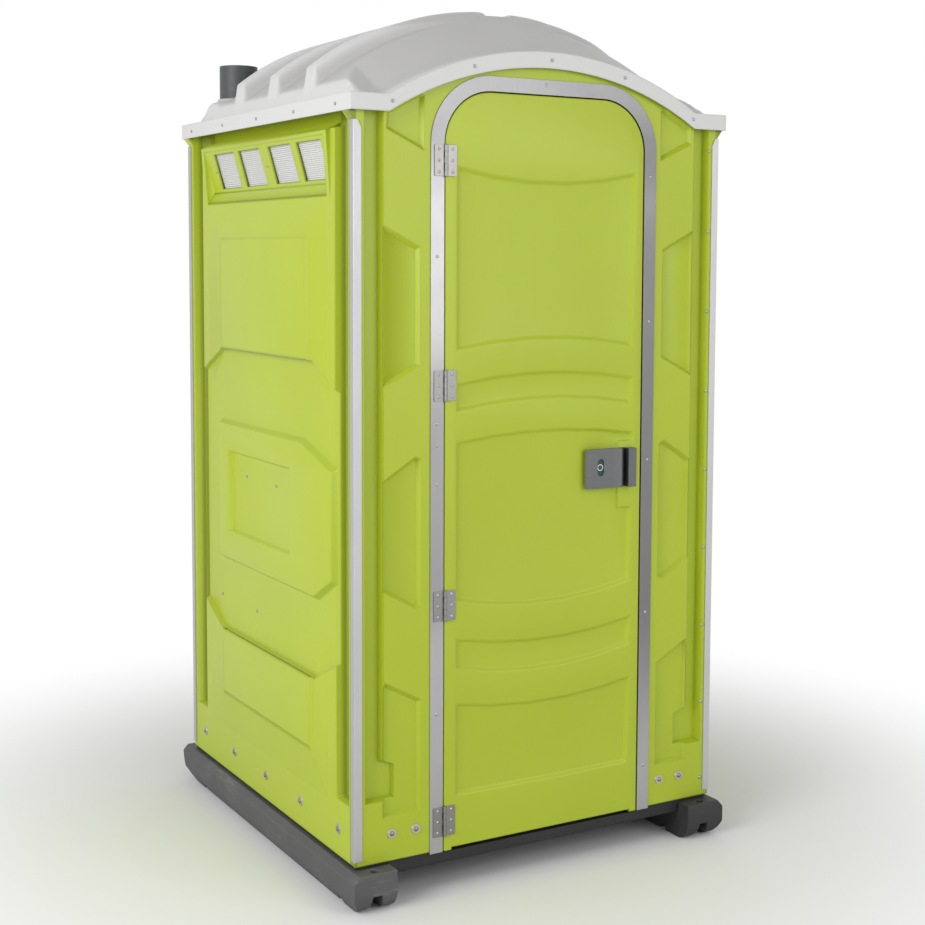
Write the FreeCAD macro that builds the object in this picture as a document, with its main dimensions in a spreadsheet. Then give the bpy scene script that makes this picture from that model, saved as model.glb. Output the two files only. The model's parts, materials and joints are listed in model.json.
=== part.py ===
import FreeCAD, Part
import math
import os
import Sketcher
from FreeCAD import Placement, Rotation, Vector

# Portable toilet cabin, millimetres, +Z up. The door is on the -Y side, the origin is on the
# ground under the middle of the cabin. Every size that can be set by itself is one row below.
SIZES = (
    ("cabin_width", 1084, "outer faces of the side walls"),
    ("cabin_depth", 1132, "outer faces of the front and rear walls"),
    ("wall_foot", 109, "height of the lower edge of the walls"),
    ("eave_height", 1943, "height of the lower edge of the roof flange"),
    ("wall_lap", 24, "how far the walls reach up inside the roof flange"),
    ("wall_sheet", 5, "wall sheet thickness"),
    ("channel_depth", 30, "depth of the corner channels of the walls"),
    ("post_width", 34, "flat strip at each corner of a wall"),
    ("panel_step", 12, "step of the shallow wall panels"),
    ("panel_draft", 12, "slope width round a shallow wall panel"),
    ("channel_draft", 6, "slope width of a channel side"),
    ("plinth_height", 143, "flat strip along the foot of a side wall"),
    ("roof_sheet", 5, "roof sheet thickness"),
    ("flange_drop", 41, "height of the roof flange"),
    ("flange_reach", 16, "overhang of the roof flange"),
    ("fascia_rise", 129, "rise of the front and rear arch"),
    ("eave_flat", 103, "level part of the front edge at each corner"),
    ("dome_rise", 276, "height of the rib crowns over the flange"),
    ("rib_radius", 800, "radius of the rib crowns"),
    ("rib_spacing", 240, "distance between two roof ribs"),
    ("rib_end_width", 62, "crown width of a rib at the eave"),
    ("rib_height", 45, "height of a rib over the valley beside it"),
    ("rib_count", 3, "roof ribs"),
    ("ridge_channel", 90, "width of the level channel along the ridge"),
    ("ridge_depth", 15, "depth of the channel along the ridge"),
    ("opening_width", 604, "clear width inside the door frame"),
    ("opening_top", 2009, "height of the top of the door opening"),
    ("opening_radius", 135, "corner radius of the door opening"),
    ("frame_band", 35, "width of the door frame band"),
    ("frame_thick", 3, "thickness of the door frame band"),
    ("frame_return", 38, "depth of the door frame inside the opening"),
    ("door_gap", 5, "gap between door and frame"),
    ("door_thick", 30, "door thickness"),
    ("door_skin", 14, "thickness of the outer door skin"),
    ("door_sheet", 4, "sheet of the two door skins"),
    ("door_step", 8, "depth of the door panels"),
    ("door_draft", 8, "slope width round a door panel"),
    ("door_foot_lift", 12, "gap between the door and the floor pan"),
    ("hinge_count", 4, "hinges of the door"),
    ("hinge_first", 183, "height of the middle of the lowest hinge"),
    ("hinge_pitch", 550, "distance between two hinges"),
    ("hinge_length", 76, "length of a hinge"),
    ("hinge_leaf", 26, "width of a hinge leaf"),
    ("hinge_thick", 2, "hinge sheet thickness"),
    ("pin_diameter", 5, "hinge pin diameter"),
    ("pin_clearance", 0.1, "running fit of the pin, on the diameter"),
    ("knuckle_wall", 2, "wall of a hinge knuckle"),
    ("knuckle_gap", 0.4, "gap between hinge knuckles"),
    ("skid_length", 1216, "length of a skid"),
    ("skid_width", 118, "width of a skid"),
    ("skid_height", 100, "height of a skid"),
    ("skid_inset", 36, "distance of a skid centre inwards from the wall face"),
    ("skid_bow_front", 50, "radius of the front skid ends"),
    ("skid_bow_rear", 96, "radius of the rising rear skid ends"),
    ("skid_shoulder", 16, "slope along the top edges of a skid"),
    ("tunnel_width", 42, "width of the channel under a skid"),
    ("tunnel_height", 44, "height of the channel under a skid"),
    ("tie_hole", 22, "diameter of the tie-down hole in a skid end"),
    ("pan_foot", 74, "height of the underside of the floor pan"),
    ("pan_rim_height", 90, "height of the floor pan rim over the pan"),
    ("pan_rim_width", 26, "width of the floor pan rim"),
    ("pan_top", 100, "height of the floor pan under the walls and the door"),
    ("trim_leg", 18, "leg of the corner trim"),
    ("trim_thick", 3, "thickness of the corner trim"),
    ("trim_lift", 13, "height of the trim foot over the wall foot"),
    ("trim_drop", 22, "distance of the trim top under the eave"),
    ("rivet_diameter", 9, "head of a small rivet"),
    ("rivet_rise", 3, "height of a rivet head"),
    ("bolt_head", 13, "head of a base bolt"),
    ("bolt_rise", 4, "height of a base bolt head"),
    ("washer_diameter", 26, "base washer"),
    ("washer_thick", 2, "thickness of a base washer"),
    ("pipe_diameter", 110, "outside of the vent pipe"),
    ("pipe_wall", 4, "wall of the vent pipe"),
    ("pipe_top", 2150, "height of the top of the vent pipe"),
    ("pipe_side_inset", 112, "distance of the vent pipe inwards from the side wall face"),
    ("pipe_rear_inset", 116, "distance of the vent pipe inwards from the rear wall face"),
    ("tank_side_gap", 42, "distance of the waste tank from the side wall face"),
    ("tank_depth", 480, "depth of the waste tank, front to back"),
    ("tank_top", 590, "height of the top of the waste tank"),
    ("tank_wall", 6, "wall of the waste tank"),
    ("seat_length", 404, "length of the seat ring"),
    ("seat_width", 370, "width of the seat ring"),
    ("seat_thick", 22, "thickness of the seat ring"),
    ("lid_thick", 14, "thickness of the lid"),
    ("lid_open", 95, "angle of the lid tipped back against the rear wall, in degrees"),
    ("roll_diameter", 115, "paper roll"),
    ("roll_width", 100, "width of a paper roll"),
    ("lock_height", 103, "height of the lock case"),
    ("lock_plate", 108, "width of the lock plate"),
    ("lock_slot", 15, "width of the finger slot"),
    ("lock_grip", 25, "width of the grip bar"),
    ("lock_rise", 16, "how far the lock plate stands out of the door"),
    ("grip_rise", 30, "how far the grip bar stands out of the door"),
    ("window_width", 20, "indicator window of the lock"),
    ("window_height", 45, "height of the indicator window"),
    ("bolt_travel", 22, "travel of the latch bolt"),
    ("vent_windows", 4, "louvre windows in a side wall"),
    ("vent_window_width", 150, "width of a louvre window"),
    ("vent_pair_gap", 36, "bar between two windows of a pair"),
    ("vent_mid_gap", 60, "bar between the two pairs of windows"),
    ("vent_shift", -23, "how far the windows sit off the middle of the wall"),
    ("vent_slats", 13, "slats in a louvre window"),
)

doc = FreeCAD.newDocument("cabin")
sheet = doc.addObject("Spreadsheet::Sheet", "sizes")
for row, (alias, value, note) in enumerate(SIZES, start=1):
    sheet.set("A%d" % row, alias)
    sheet.set("B%d" % row, str(value))
    sheet.set("C%d" % row, note)
    sheet.setAlias("B%d" % row, alias)
doc.recompute()


def size(alias):
    """Value of one cell of the sheet, in millimetres or as a count."""
    return float(sheet.get(alias))


# Places that follow from the sheet
half_width = size("cabin_width") / 2
half_depth = size("cabin_depth") / 2
wall_foot = size("wall_foot")
eave = size("eave_height")
flange_top = eave + size("flange_drop")
wall_sheet = size("wall_sheet")
channel = size("channel_depth")
post_edge_side = half_depth - size("post_width")
post_edge_front = half_width - size("post_width")
flange_half_width = half_width + size("flange_reach")
flange_half_depth = half_depth + size("flange_reach")
arch_half = flange_half_width - size("eave_flat")
arch_top = flange_top + size("fascia_rise")
arch_radius = (arch_half ** 2 + size("fascia_rise") ** 2) / (2 * size("fascia_rise"))
opening_half = size("opening_width") / 2
frame_face = half_depth + size("frame_thick")
door_half = opening_half - size("door_gap")
door_face = -frame_face
door_back = door_face + size("door_thick")
door_foot = size("pan_top") + size("door_foot_lift")
knuckle_radius = (size("pin_diameter") + size("pin_clearance")) / 2 + size("knuckle_wall")
hinge_x = -door_half
hinge_y = door_face - 0.3 - knuckle_radius
skid_centre = half_width - size("skid_inset")
tank_half_width = half_width - size("tank_side_gap")
tank_back = half_depth - 41
tank_front = tank_back - size("tank_depth")
pipe_spot = Vector(size("pipe_side_inset") - half_width, half_depth - size("pipe_rear_inset"), 0)
deck = size("pan_top") + 4
base_bolt_up = 177
base_bolt_across = (-442, -375, 375, 442)
base_bolt_along = (-470, -235, 0, 235, 470)

UP = Vector(0, 0, 1)
PARTS = []


def keep(feature, label):
    """Name a finished sub-part and put it on the list that is written out."""
    feature.Label = label
    PARTS.append(feature)
    return feature


def feature_from(label, shape):
    """Sub-part whose shape is worked out here, resting at the origin of the cabin."""
    feature = doc.addObject("Part::Feature", label)
    feature.Shape = shape
    feature.Placement = Placement()
    return keep(feature, label)


def box(x0, x1, y0, y1, z0, z1):
    """Block between two corners."""
    return Part.makeBox(x1 - x0, y1 - y0, z1 - z0, Vector(x0, y0, z0))


def flat_ring(centre, axis, radius, sides):
    """Closed outline with its corners on a circle, one side level or facing the X axis."""
    along = Vector(axis)
    along.normalize()
    side = along.cross(Vector(1, 0, 0) if abs(along.z) > 0.9 else UP)
    side.normalize()
    up = side.cross(along)
    corners = []
    for k in range(sides):
        turn = 2 * math.pi * (k + 0.5) / sides
        corners.append(centre + side * (radius * math.cos(turn)) + up * (radius * math.sin(turn)))
    return Part.makePolygon(corners + corners[:1])


def skinned(wires):
    """Solid with flat faces between closed outlines that have equally many corners."""
    rings = [[corner.Point for corner in wire.OrderedVertexes] for wire in wires]
    faces = [Part.Face(wires[0]), Part.Face(wires[-1])]
    for low, high in zip(rings, rings[1:]):
        for k, b in enumerate(low):
            a, c, d = low[k - 1], high[k], high[k - 1]
            normal = (b - a).cross(d - a)
            normal.normalize()
            level = abs(normal.dot(c - a)) < 1e-6
            for corners in ([[a, b, c, d]] if level else [[a, b, c], [a, c, d]]):
                faces.append(Part.Face(Part.makePolygon(corners + corners[:1])))
    shell = Part.makeShell(faces)
    shell.sewShape()
    solid = Part.makeSolid(shell)
    if solid.Volume < 0:
        solid.reverse()
    return solid


def few_sided(start, axis, length, radius, sides=8):
    """Straight bar with few flat sides, for a part that is small, hidden or repeated."""
    along = Vector(axis)
    along.normalize()
    return Part.Face(flat_ring(start, along, radius, sides)).extrude(along * length)


def around(radius, sides=8):
    """Corner radius of a few-sided hole whose flats just clear a round bar of a radius."""
    return radius / math.cos(math.pi / sides)


def inset(points, distance):
    """Convex or simple outline moved inwards by a distance, for an anticlockwise outline."""
    lines = []
    count = len(points)
    for index in range(count):
        ax, ay = points[index]
        bx, by = points[(index + 1) % count]
        length = math.hypot(bx - ax, by - ay)
        nx = -(by - ay) / length * distance
        ny = (bx - ax) / length * distance
        lines.append((ax + nx, ay + ny, bx - ax, by - ay))
    moved = []
    for index in range(count):
        ax, ay, adx, ady = lines[index - 1]
        bx, by, bdx, bdy = lines[index]
        cross = adx * bdy - ady * bdx
        if abs(cross) < 1e-9:
            moved.append((bx, by))
            continue
        t = ((bx - ax) * bdy - (by - ay) * bdx) / cross
        moved.append((ax + adx * t, ay + ady * t))
    return moved


def anticlockwise(points):
    """The same outline, turned anticlockwise."""
    area = 0
    for index in range(len(points)):
        ax, ay = points[index - 1]
        bx, by = points[index]
        area += ax * by - bx * ay
    return list(points) if area > 0 else list(reversed(points))


class WallSide:
    """Flat coordinates of one wall: across, up and outwards from its outer face."""

    def __init__(self, name):
        self.name = name

    def at(self, across, up, out):
        """Point of the wall in cabin coordinates."""
        if self.name == "side":
            return Vector(-half_width - out, across, up)
        if self.name == "rear":
            return Vector(-across, half_depth + out, up)
        return Vector(across, -half_depth - out, up)

    def wire(self, points, out):
        """Closed outline at one level of the wall."""
        corners = [self.at(u, v, out) for u, v in points]
        return Part.makePolygon(corners + corners[:1])

    def frustum(self, points, low, high, spread_low, spread_high):
        """Solid between two levels whose outline is inset by its own amount at each level."""
        outline = anticlockwise(points)
        wires = [self.wire(inset(outline, spread_low), low),
                 self.wire(inset(outline, spread_high), high)]
        return skinned(wires)

    def prism(self, profile, start, end):
        """Bar along the wall with a profile of (up, out) points."""
        corners = [self.at(start, up, out) for up, out in profile]
        face = Part.Face(Part.makePolygon(corners + corners[:1]))
        return face.extrude(self.at(end, 0, 0) - self.at(start, 0, 0))


def fuse_all(shapes):
    """One shape from many."""
    first = shapes[0]
    return first.multiFuse(shapes[1:]) if len(shapes) > 1 else first


# Side walls

SIDE = WallSide("side")
FRONT = WallSide("front")
REAR = WallSide("rear")

field_half = post_edge_side - 76
vent_half = field_half - 24
vent_hood = 12
vent_top = eave - 34
vent_foot = vent_top - 186
vent_sill = vent_foot + 16
vent_pinch = vent_foot + 56
vent_sink = 22
vent_rim = 20
plinth_top = wall_foot + size("plinth_height")
screen_slope = (vent_hood - 2 + vent_sink) / (vent_top - 14 - vent_pinch)
waist_top = vent_foot - 386
waist_leg = waist_top - 80
waist_foot = plinth_top + 272
waist_shoulder = waist_foot + 76
waist_half = 302
block_top = waist_top - 202
block_foot = block_top - 408


def side_relief(offset):
    """Solid behind the outer face of a side wall, shrunk evenly by an offset."""
    lower = -offset
    step = size("panel_step")
    draft = size("panel_draft")
    steep = size("channel_draft")
    top = eave + size("wall_lap")
    back = -channel - 3 * wall_sheet
    ground = SIDE.frustum([(-half_depth, wall_foot), (half_depth, wall_foot),
                           (half_depth, top), (-half_depth, top)],
                          back, -channel + lower, 0, 0)
    shapes = [ground]
    for sign in (-1, 1):
        inner = sign * (post_edge_side + offset)
        foot = sign * (post_edge_side - steep + offset)
        outline_high = [(sign * half_depth, wall_foot), (inner, wall_foot), (inner, top),
                        (sign * half_depth, top)]
        outline_low = [(sign * half_depth, wall_foot), (foot, wall_foot), (foot, top),
                       (sign * half_depth, top)]
        shapes.append(skinned([SIDE.wire(outline_low, -channel - 1 + lower),
                                     SIDE.wire(outline_high, lower)]))
    plinth_low = [(-half_depth, wall_foot), (half_depth, wall_foot),
                  (half_depth, plinth_top + steep - offset),
                  (-half_depth, plinth_top + steep - offset)]
    plinth_high = [(-half_depth, wall_foot), (half_depth, wall_foot),
                   (half_depth, plinth_top - offset), (-half_depth, plinth_top - offset)]
    shapes.append(skinned([SIDE.wire(plinth_low, -channel - 1 + lower),
                                 SIDE.wire(plinth_high, lower)]))
    field = [(-field_half, wall_foot + 20), (field_half, wall_foot + 20),
             (field_half, vent_top), (-field_half, vent_top)]
    shapes.append(SIDE.frustum(field, -channel - 1 + lower, lower, offset - steep, offset))
    hood = [(vent_top + 16 - offset, -channel - 1 + lower), (vent_top - 4 - offset, vent_hood + lower),
            (vent_sill, lower), (vent_sill, -channel - 1 + lower)]
    shapes.append(SIDE.prism(hood, -vent_half + offset, vent_half - offset))
    solid = fuse_all(shapes)
    waist = [(-field_half - 20, waist_leg), (-waist_half, waist_top), (waist_half, waist_top),
             (field_half + 20, waist_leg), (field_half + 20, waist_shoulder),
             (waist_half + 14, waist_foot), (-waist_half - 14, waist_foot),
             (-field_half - 20, waist_shoulder)]
    cuts = [SIDE.frustum(waist, -step + lower, 20, -offset, -draft - offset)]
    recess = [(vent_top - 14, vent_hood + 20), (vent_top - 14, vent_hood - 2 + lower),
              (vent_pinch + offset, -vent_sink + lower + offset * screen_slope),
              (vent_sill + 6 + offset, lower),
              (vent_sill + 6 + offset, vent_hood + 20)]
    cuts.append(SIDE.prism(recess, -vent_half + vent_rim - offset, vent_half - vent_rim + offset))
    solid = solid.cut(fuse_all(cuts))
    block = [(-field_half + 4, block_foot + 62), (-field_half + 120, block_foot),
             (waist_half + 36, block_foot), (waist_half + 36, block_top),
             (-waist_half + 46, block_top), (-field_half + 4, block_top - 58)]
    face = SIDE.frustum(block, -step - 3 + lower, 6 + lower, offset, offset + draft)
    solid = solid.fuse(face)
    niche = [(-176, block_foot + 98), (246, block_foot + 98), (246, block_top - 92),
             (-176, block_top - 92)]
    solid = solid.cut(SIDE.frustum(niche, -6 + lower, 20, -offset, -offset - 14))
    for low_z, high_z in ((waist_top, vent_foot - 76), (plinth_top + 89, waist_foot)):
        pane = [(-waist_half, low_z), (waist_half, low_z), (waist_half, high_z), (-waist_half, high_z)]
        if low_z == waist_top:
            raised = SIDE.frustum(pane, -3 + lower, 6 + lower, offset - 40, offset)
            keep_in = SIDE.prism([(low_z, 30), (vent_foot - 8, 30), (vent_foot - 8, -60), (low_z, -60)],
                                 -field_half + 8, field_half - 8)
            solid = solid.fuse(raised.common(keep_in))
        else:
            raised = SIDE.frustum(pane, -3 + lower, 6 + lower, offset - 20, offset)
            keep_in = SIDE.prism([(plinth_top, 30), (high_z, 30), (high_z, -60), (plinth_top, -60)],
                                 -field_half + 8, field_half - 8)
            solid = solid.fuse(raised.common(keep_in))
    return solid


def vent_window_spans():
    """Start and end of each louvre window along the wall, in two pairs."""
    count = int(size("vent_windows"))
    wide = size("vent_window_width")
    pair_gap = size("vent_pair_gap")
    extra = size("vent_mid_gap") - pair_gap
    total = count * wide + (count - 1) * pair_gap + extra
    spans = []
    for k in range(count):
        start = size("vent_shift") - total / 2 + k * (wide + pair_gap)
        if k >= count / 2:
            start += extra
        spans.append((start, start + wide))
    return spans


window_top = vent_top - 24
window_foot = vent_pinch + 10


def vent_screen_out(up):
    """How far out the tilted vent screen stands at a height."""
    share = (vent_top - 14 - up) / (vent_top - 14 - vent_pinch)
    return vent_hood - 2 - share * (vent_hood - 2 + vent_sink)


def window_cutter(start, end, margin):
    """Prism through the tilted screen for one window."""
    profile = []
    for up in (window_foot + margin, window_top - margin):
        profile.append((up, vent_screen_out(up) + 12))
    for up in (window_top - margin, window_foot + margin):
        profile.append((up, vent_screen_out(up) - 34))
    return SIDE.prism(profile, start + margin, end - margin)


def side_wall():
    """Formed sheet of the side wall that carries the vent windows."""
    sheet_shape = side_relief(0).cut(side_relief(wall_sheet))
    hollow = box(-half_width - 60, -half_width + channel + wall_sheet, -half_depth - 5,
                 half_depth + 5, wall_foot - 5, eave + size("wall_lap") + 5)
    sheet_shape = sheet_shape.common(hollow)
    for start, end in vent_window_spans():
        sheet_shape = sheet_shape.cut(window_cutter(start, end, 0))
    solids = sorted(sheet_shape.Solids, key=lambda solid: solid.Volume)
    return solids[-1]


def vent_louvre():
    """Louvre screen behind the windows: long slats between two bars, on two rails."""
    pieces = []
    slats = int(size("vent_slats"))
    lip = wall_sheet + 0.4
    thick = 2.0
    spans = vent_window_spans()
    first = spans[0][0] - 6
    last = spans[-1][1] + 6
    for edge in (first, last - 4):
        profile = [(window_foot - 6, vent_screen_out(window_foot - 6) - lip),
                   (window_top + 6, vent_screen_out(window_top + 6) - lip),
                   (window_top + 6, vent_screen_out(window_top + 6) - lip - 16),
                   (window_foot - 6, vent_screen_out(window_foot - 6) - lip - 16)]
        pieces.append(SIDE.prism(profile, edge, edge + 4))
    for index in range(slats):
        up = window_foot + (index + 0.5) * (window_top - window_foot) / slats
        out = vent_screen_out(up) - lip - 2
        profile = [(up - 1, out), (up + thick - 1, out), (up + 7 + thick, out - 12),
                   (up + 7, out - 12)]
        pieces.append(SIDE.prism(profile, first + 2, last - 2))
    for up in (window_foot - 6, window_top + 2):
        out = vent_screen_out(up) - lip - 1
        profile = [(up, out), (up + 4, out), (up + 4, out - 15), (up, out - 15)]
        pieces.append(SIDE.prism(profile, first, last))
    return fuse_all(pieces)


def mirrored(shape):
    """The same shape on the other side of the cabin."""
    return shape.mirror(Vector(0, 0, 0), Vector(1, 0, 0))


def corner_flare(side, start, end):
    """Wedge under the roof flange that widens a wall post to the edge of the flange."""
    return side.prism([(eave - flare_height, 0), (eave, size("flange_reach")), (eave, 0)], start, end)


flare_height = size("trim_drop") - 2
left_wall_shape = side_wall()
for flare_start in (-half_depth, post_edge_side):
    left_wall_shape = left_wall_shape.fuse(corner_flare(SIDE, flare_start,
                                                        flare_start + size("post_width")))
feature_from("left_wall", left_wall_shape)
feature_from("right_wall", mirrored(left_wall_shape))
louvre_shape = vent_louvre()
feature_from("left_vent_louvre", louvre_shape)
feature_from("right_vent_louvre", mirrored(louvre_shape))


# Front and rear walls

ARCH_RUNS = 12


def circle_drop(x, radius):
    """How far a circle of a radius has dropped at a distance from its crown."""
    return radius - math.sqrt(radius ** 2 - x ** 2)


def gable_face(half, drop, foot):
    """Upright face between a foot line and the eave arch, in the XZ plane."""
    corners = [Vector(-half, 0, foot), Vector(half, 0, foot), Vector(half, 0, flange_top - drop)]
    for k in range(ARCH_RUNS + 1):
        x = arch_half * (1 - 2 * k / ARCH_RUNS)
        corners.append(Vector(x, 0, arch_top - circle_drop(x, arch_radius) - drop))
    corners.append(Vector(-half, 0, flange_top - drop))
    return Part.Face(Part.makePolygon(corners + corners[:1]))


def gable_block(half, drop, foot, y0, y1):
    """Block under the eave arch between two depths."""
    block = gable_face(half, drop, foot).extrude(Vector(0, y1 - y0, 0))
    block.translate(Vector(0, y0, 0))
    return block


def opening_wire(grow, foot, y):
    """Outline of the door opening, grown by an amount on its sides and top."""
    half = opening_half + grow
    top = size("opening_top") + grow
    radius = size("opening_radius") + grow
    bend = radius * math.sqrt(0.5)
    lines = [Part.makeLine(Vector(-half, y, foot), Vector(half, y, foot)),
             Part.makeLine(Vector(half, y, foot), Vector(half, y, top - radius)),
             Part.Arc(Vector(half, y, top - radius),
                      Vector(half - radius + bend, y, top - radius + bend),
                      Vector(half - radius, y, top)).toShape(),
             Part.makeLine(Vector(half - radius, y, top), Vector(-half + radius, y, top)),
             Part.Arc(Vector(-half + radius, y, top),
                      Vector(-half + radius - bend, y, top - radius + bend),
                      Vector(-half, y, top - radius)).toShape(),
             Part.makeLine(Vector(-half, y, top - radius), Vector(-half, y, foot))]
    return Part.Wire(lines)


def opening_block(grow, foot, y0, y1):
    """Block that fills the door opening between two depths."""
    return Part.Face(opening_wire(grow, foot, y0)).extrude(Vector(0, y1 - y0, 0))


gable_drop = size("flange_drop") - size("wall_lap")
front_channel = channel - wall_sheet - 1
front_half = half_width - wall_sheet
strip_in = opening_half + size("frame_band") + 21
strip_out = post_edge_front - 38
strip = strip_out - strip_in
strip_draft = 0.107 * strip
strip_notch = strip_in + 0.18 * strip

FRONT_POCKETS = (
    ((strip_in + 0.03 * strip, 1332), (strip_out, 1332 - strip / 2), (strip_out, 1624 + strip / 2),
     (strip_in + 0.03 * strip, 1624)),
    ((strip_in, 730 + 0.07 * strip), (strip_notch, 730), (strip_out, 730 + 0.47 * strip),
     (strip_out, 1114 - 0.52 * strip), (strip_notch, 1114), (strip_in, 1114 - 0.07 * strip)),
    ((strip_in, 215), (strip_out, 215), (strip_out, 540), (strip_out - 0.07 * strip, 540 + 0.2 * strip),
     (strip_in, 540 - 0.31 * strip)),
)
FRONT_PEDIMENT = ((strip_in - 0.07 * strip, 1850), (strip_out - 0.09 * strip, 1850 + 0.46 * strip),
                  (strip_out - 0.125 * strip, 1948), (strip_in + 0.054 * strip, 1948 + 0.43 * strip),
                  (strip_in - 0.07 * strip, 1948 + 0.36 * strip))


def mirror_points(points, sign):
    """Outline on the right of the middle, or its mirror image on the left."""
    return anticlockwise([(sign * u, v) for u, v in points])


def front_relief(side, offset, with_pockets):
    """Solid behind the outer face of the front or rear wall, shrunk evenly by an offset."""
    lower = -offset
    step = size("panel_step")
    steep = size("channel_draft")
    near = -half_depth - lower if side is FRONT else half_depth - channel - 3 * wall_sheet
    far = -half_depth + channel + 3 * wall_sheet if side is FRONT else half_depth + lower
    solid = gable_block(front_half, gable_drop, wall_foot, near, far)
    channel_foot = wall_foot + 159
    for sign in (-1, 1):
        groove = mirror_points(((strip_out, channel_foot + 92), (strip_out - 36, channel_foot + 78),
                                (strip_out - 36, channel_foot), (post_edge_front, channel_foot),
                                (post_edge_front, 2100), (strip_out, 2100)), sign)
        solid = solid.cut(side.frustum(groove, -front_channel + lower, 20, -offset,
                                       -offset - steep * (1 + 20 / front_channel)))
        if with_pockets:
            for pocket in FRONT_POCKETS:
                outline = mirror_points(pocket, sign)
                solid = solid.cut(side.frustum(outline, -step + lower, 20, -offset + strip_draft,
                                               -offset - strip_draft))
            outline = mirror_points(FRONT_PEDIMENT, sign)
            solid = solid.cut(side.frustum(outline, -step + lower, 20, -offset + strip_draft,
                                           -offset - strip_draft))
    return solid


def front_wall():
    """Formed sheet of the front wall with the door opening cut out of it."""
    shape = front_relief(FRONT, 0, True).cut(front_relief(FRONT, wall_sheet, True))
    hollow = box(-half_width, half_width, -half_depth - 5, -half_depth + channel + wall_sheet,
                 wall_foot - 5, 2200)
    shape = shape.common(hollow)
    return shape.cut(opening_block(0, wall_foot - 20, -half_depth - 40, -half_depth + 80))


def rear_wall():
    """Formed sheet of the rear wall with three raised panes."""
    def relief(offset):
        solid = front_relief(REAR, offset, False)
        for low_z, high_z in ((wall_foot + 190, 640), (760, 1180), (1300, 1780)):
            pane = ((-strip_out + 60, low_z), (strip_out - 60, low_z), (strip_out - 60, high_z),
                    (-strip_out + 60, high_z))
            solid = solid.cut(REAR.frustum(anticlockwise(pane), -size("panel_step") - offset, 20,
                                           -offset, -offset - 2 * size("panel_draft")))
        return solid
    shape = relief(0).cut(relief(wall_sheet))
    hollow = box(-half_width, half_width, half_depth - channel - wall_sheet, half_depth + 5,
                 wall_foot - 5, 2200)
    return shape.common(hollow)


feature_from("front_wall", front_wall())
feature_from("rear_wall", rear_wall())


# Outlines made of straight runs and arcs

def trace(points):
    """Runs of a closed outline; a point marked with True is the middle of an arc."""
    order = list(points) + [points[0]]
    runs = []
    start = Vector(*order[0][:2], 0)
    middle = None
    for point in order[1:]:
        here = Vector(point[0], point[1], 0)
        if len(point) == 3:
            middle = here
            continue
        if middle is None:
            runs.append(Part.LineSegment(start, here))
        else:
            runs.append(Part.Arc(start, middle, here))
            middle = None
        start = here
    return runs


def corner_arc(corner, before, after, radius):
    """Start, marked middle and end of the arc that rounds an upright corner."""
    bend = radius * (1 - math.sqrt(0.5))
    start = (corner[0] + before[0] * radius, corner[1] + before[1] * radius)
    end = (corner[0] + after[0] * radius, corner[1] + after[1] * radius)
    middle = (corner[0] + (before[0] + after[0]) * bend, corner[1] + (before[1] + after[1]) * bend,
              True)
    return [start, middle, end]


def rounded_box_outline(x0, x1, y0, y1, radius):
    """Upright rectangle with rounded corners."""
    return (corner_arc((x0, y0), (0, 1), (1, 0), radius)
            + corner_arc((x1, y0), (-1, 0), (0, 1), radius)
            + corner_arc((x1, y1), (0, -1), (-1, 0), radius)
            + corner_arc((x0, y1), (1, 0), (0, -1), radius))


def origin_plane(body, role):
    """One of the three origin planes of a body."""
    for plane in body.Origin.OriginFeatures:
        if plane.Role == role:
            return plane
    raise RuntimeError("no plane " + role)


def sketch_on(body, name, role, level, outlines):
    """Sketch on an origin plane of its body, moved along its normal to a level."""
    sketch = body.newObject("Sketcher::SketchObject", name)
    sketch.AttachmentSupport = [(origin_plane(body, role), "")]
    sketch.MapMode = "FlatFace"
    sketch.AttachmentOffset = Placement(Vector(0, 0, level), Rotation())
    for outline in outlines:
        first = sketch.GeometryCount
        runs = trace(outline)
        for run in runs:
            sketch.addGeometry(run, False)
        count = len(runs)
        for index in range(count):
            sketch.addConstraint(Sketcher.Constraint("Coincident", first + index, 2,
                                                     first + (index + 1) % count, 1))
    return sketch


def pad(body, name, role, level, outlines, length, reverse=False, draft=0):
    """Pad of closed outlines; a number or an expression of the sheet sets its length."""
    feature = body.newObject("PartDesign::Pad", name)
    feature.Profile = sketch_on(body, name + "_sketch", role, level, outlines)
    set_length(feature, length)
    feature.Reversed = reverse
    feature.TaperAngle = draft
    return feature


def pocket(body, name, role, level, outlines, length, reverse=False, draft=0):
    """Pocket of closed outlines that has to take material away."""
    doc.recompute()
    before = body.Shape.Volume
    feature = body.newObject("PartDesign::Pocket", name)
    feature.Profile = sketch_on(body, name + "_sketch", role, level, outlines)
    set_length(feature, length)
    feature.Reversed = reverse
    feature.TaperAngle = draft
    doc.recompute()
    if body.Shape.Volume > before - 1:
        raise RuntimeError("pocket cuts nothing: " + name)
    return feature


def set_length(feature, length):
    """Length of a pad or pocket, bound to the sheet where it is an expression."""
    if isinstance(length, str):
        feature.setExpression("Length", length)
    else:
        feature.Length = length


def new_body(label):
    """Empty body for one sub-part."""
    body = doc.addObject("PartDesign::Body", label)
    return keep(body, label)


# Base: skids and floor pan

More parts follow.
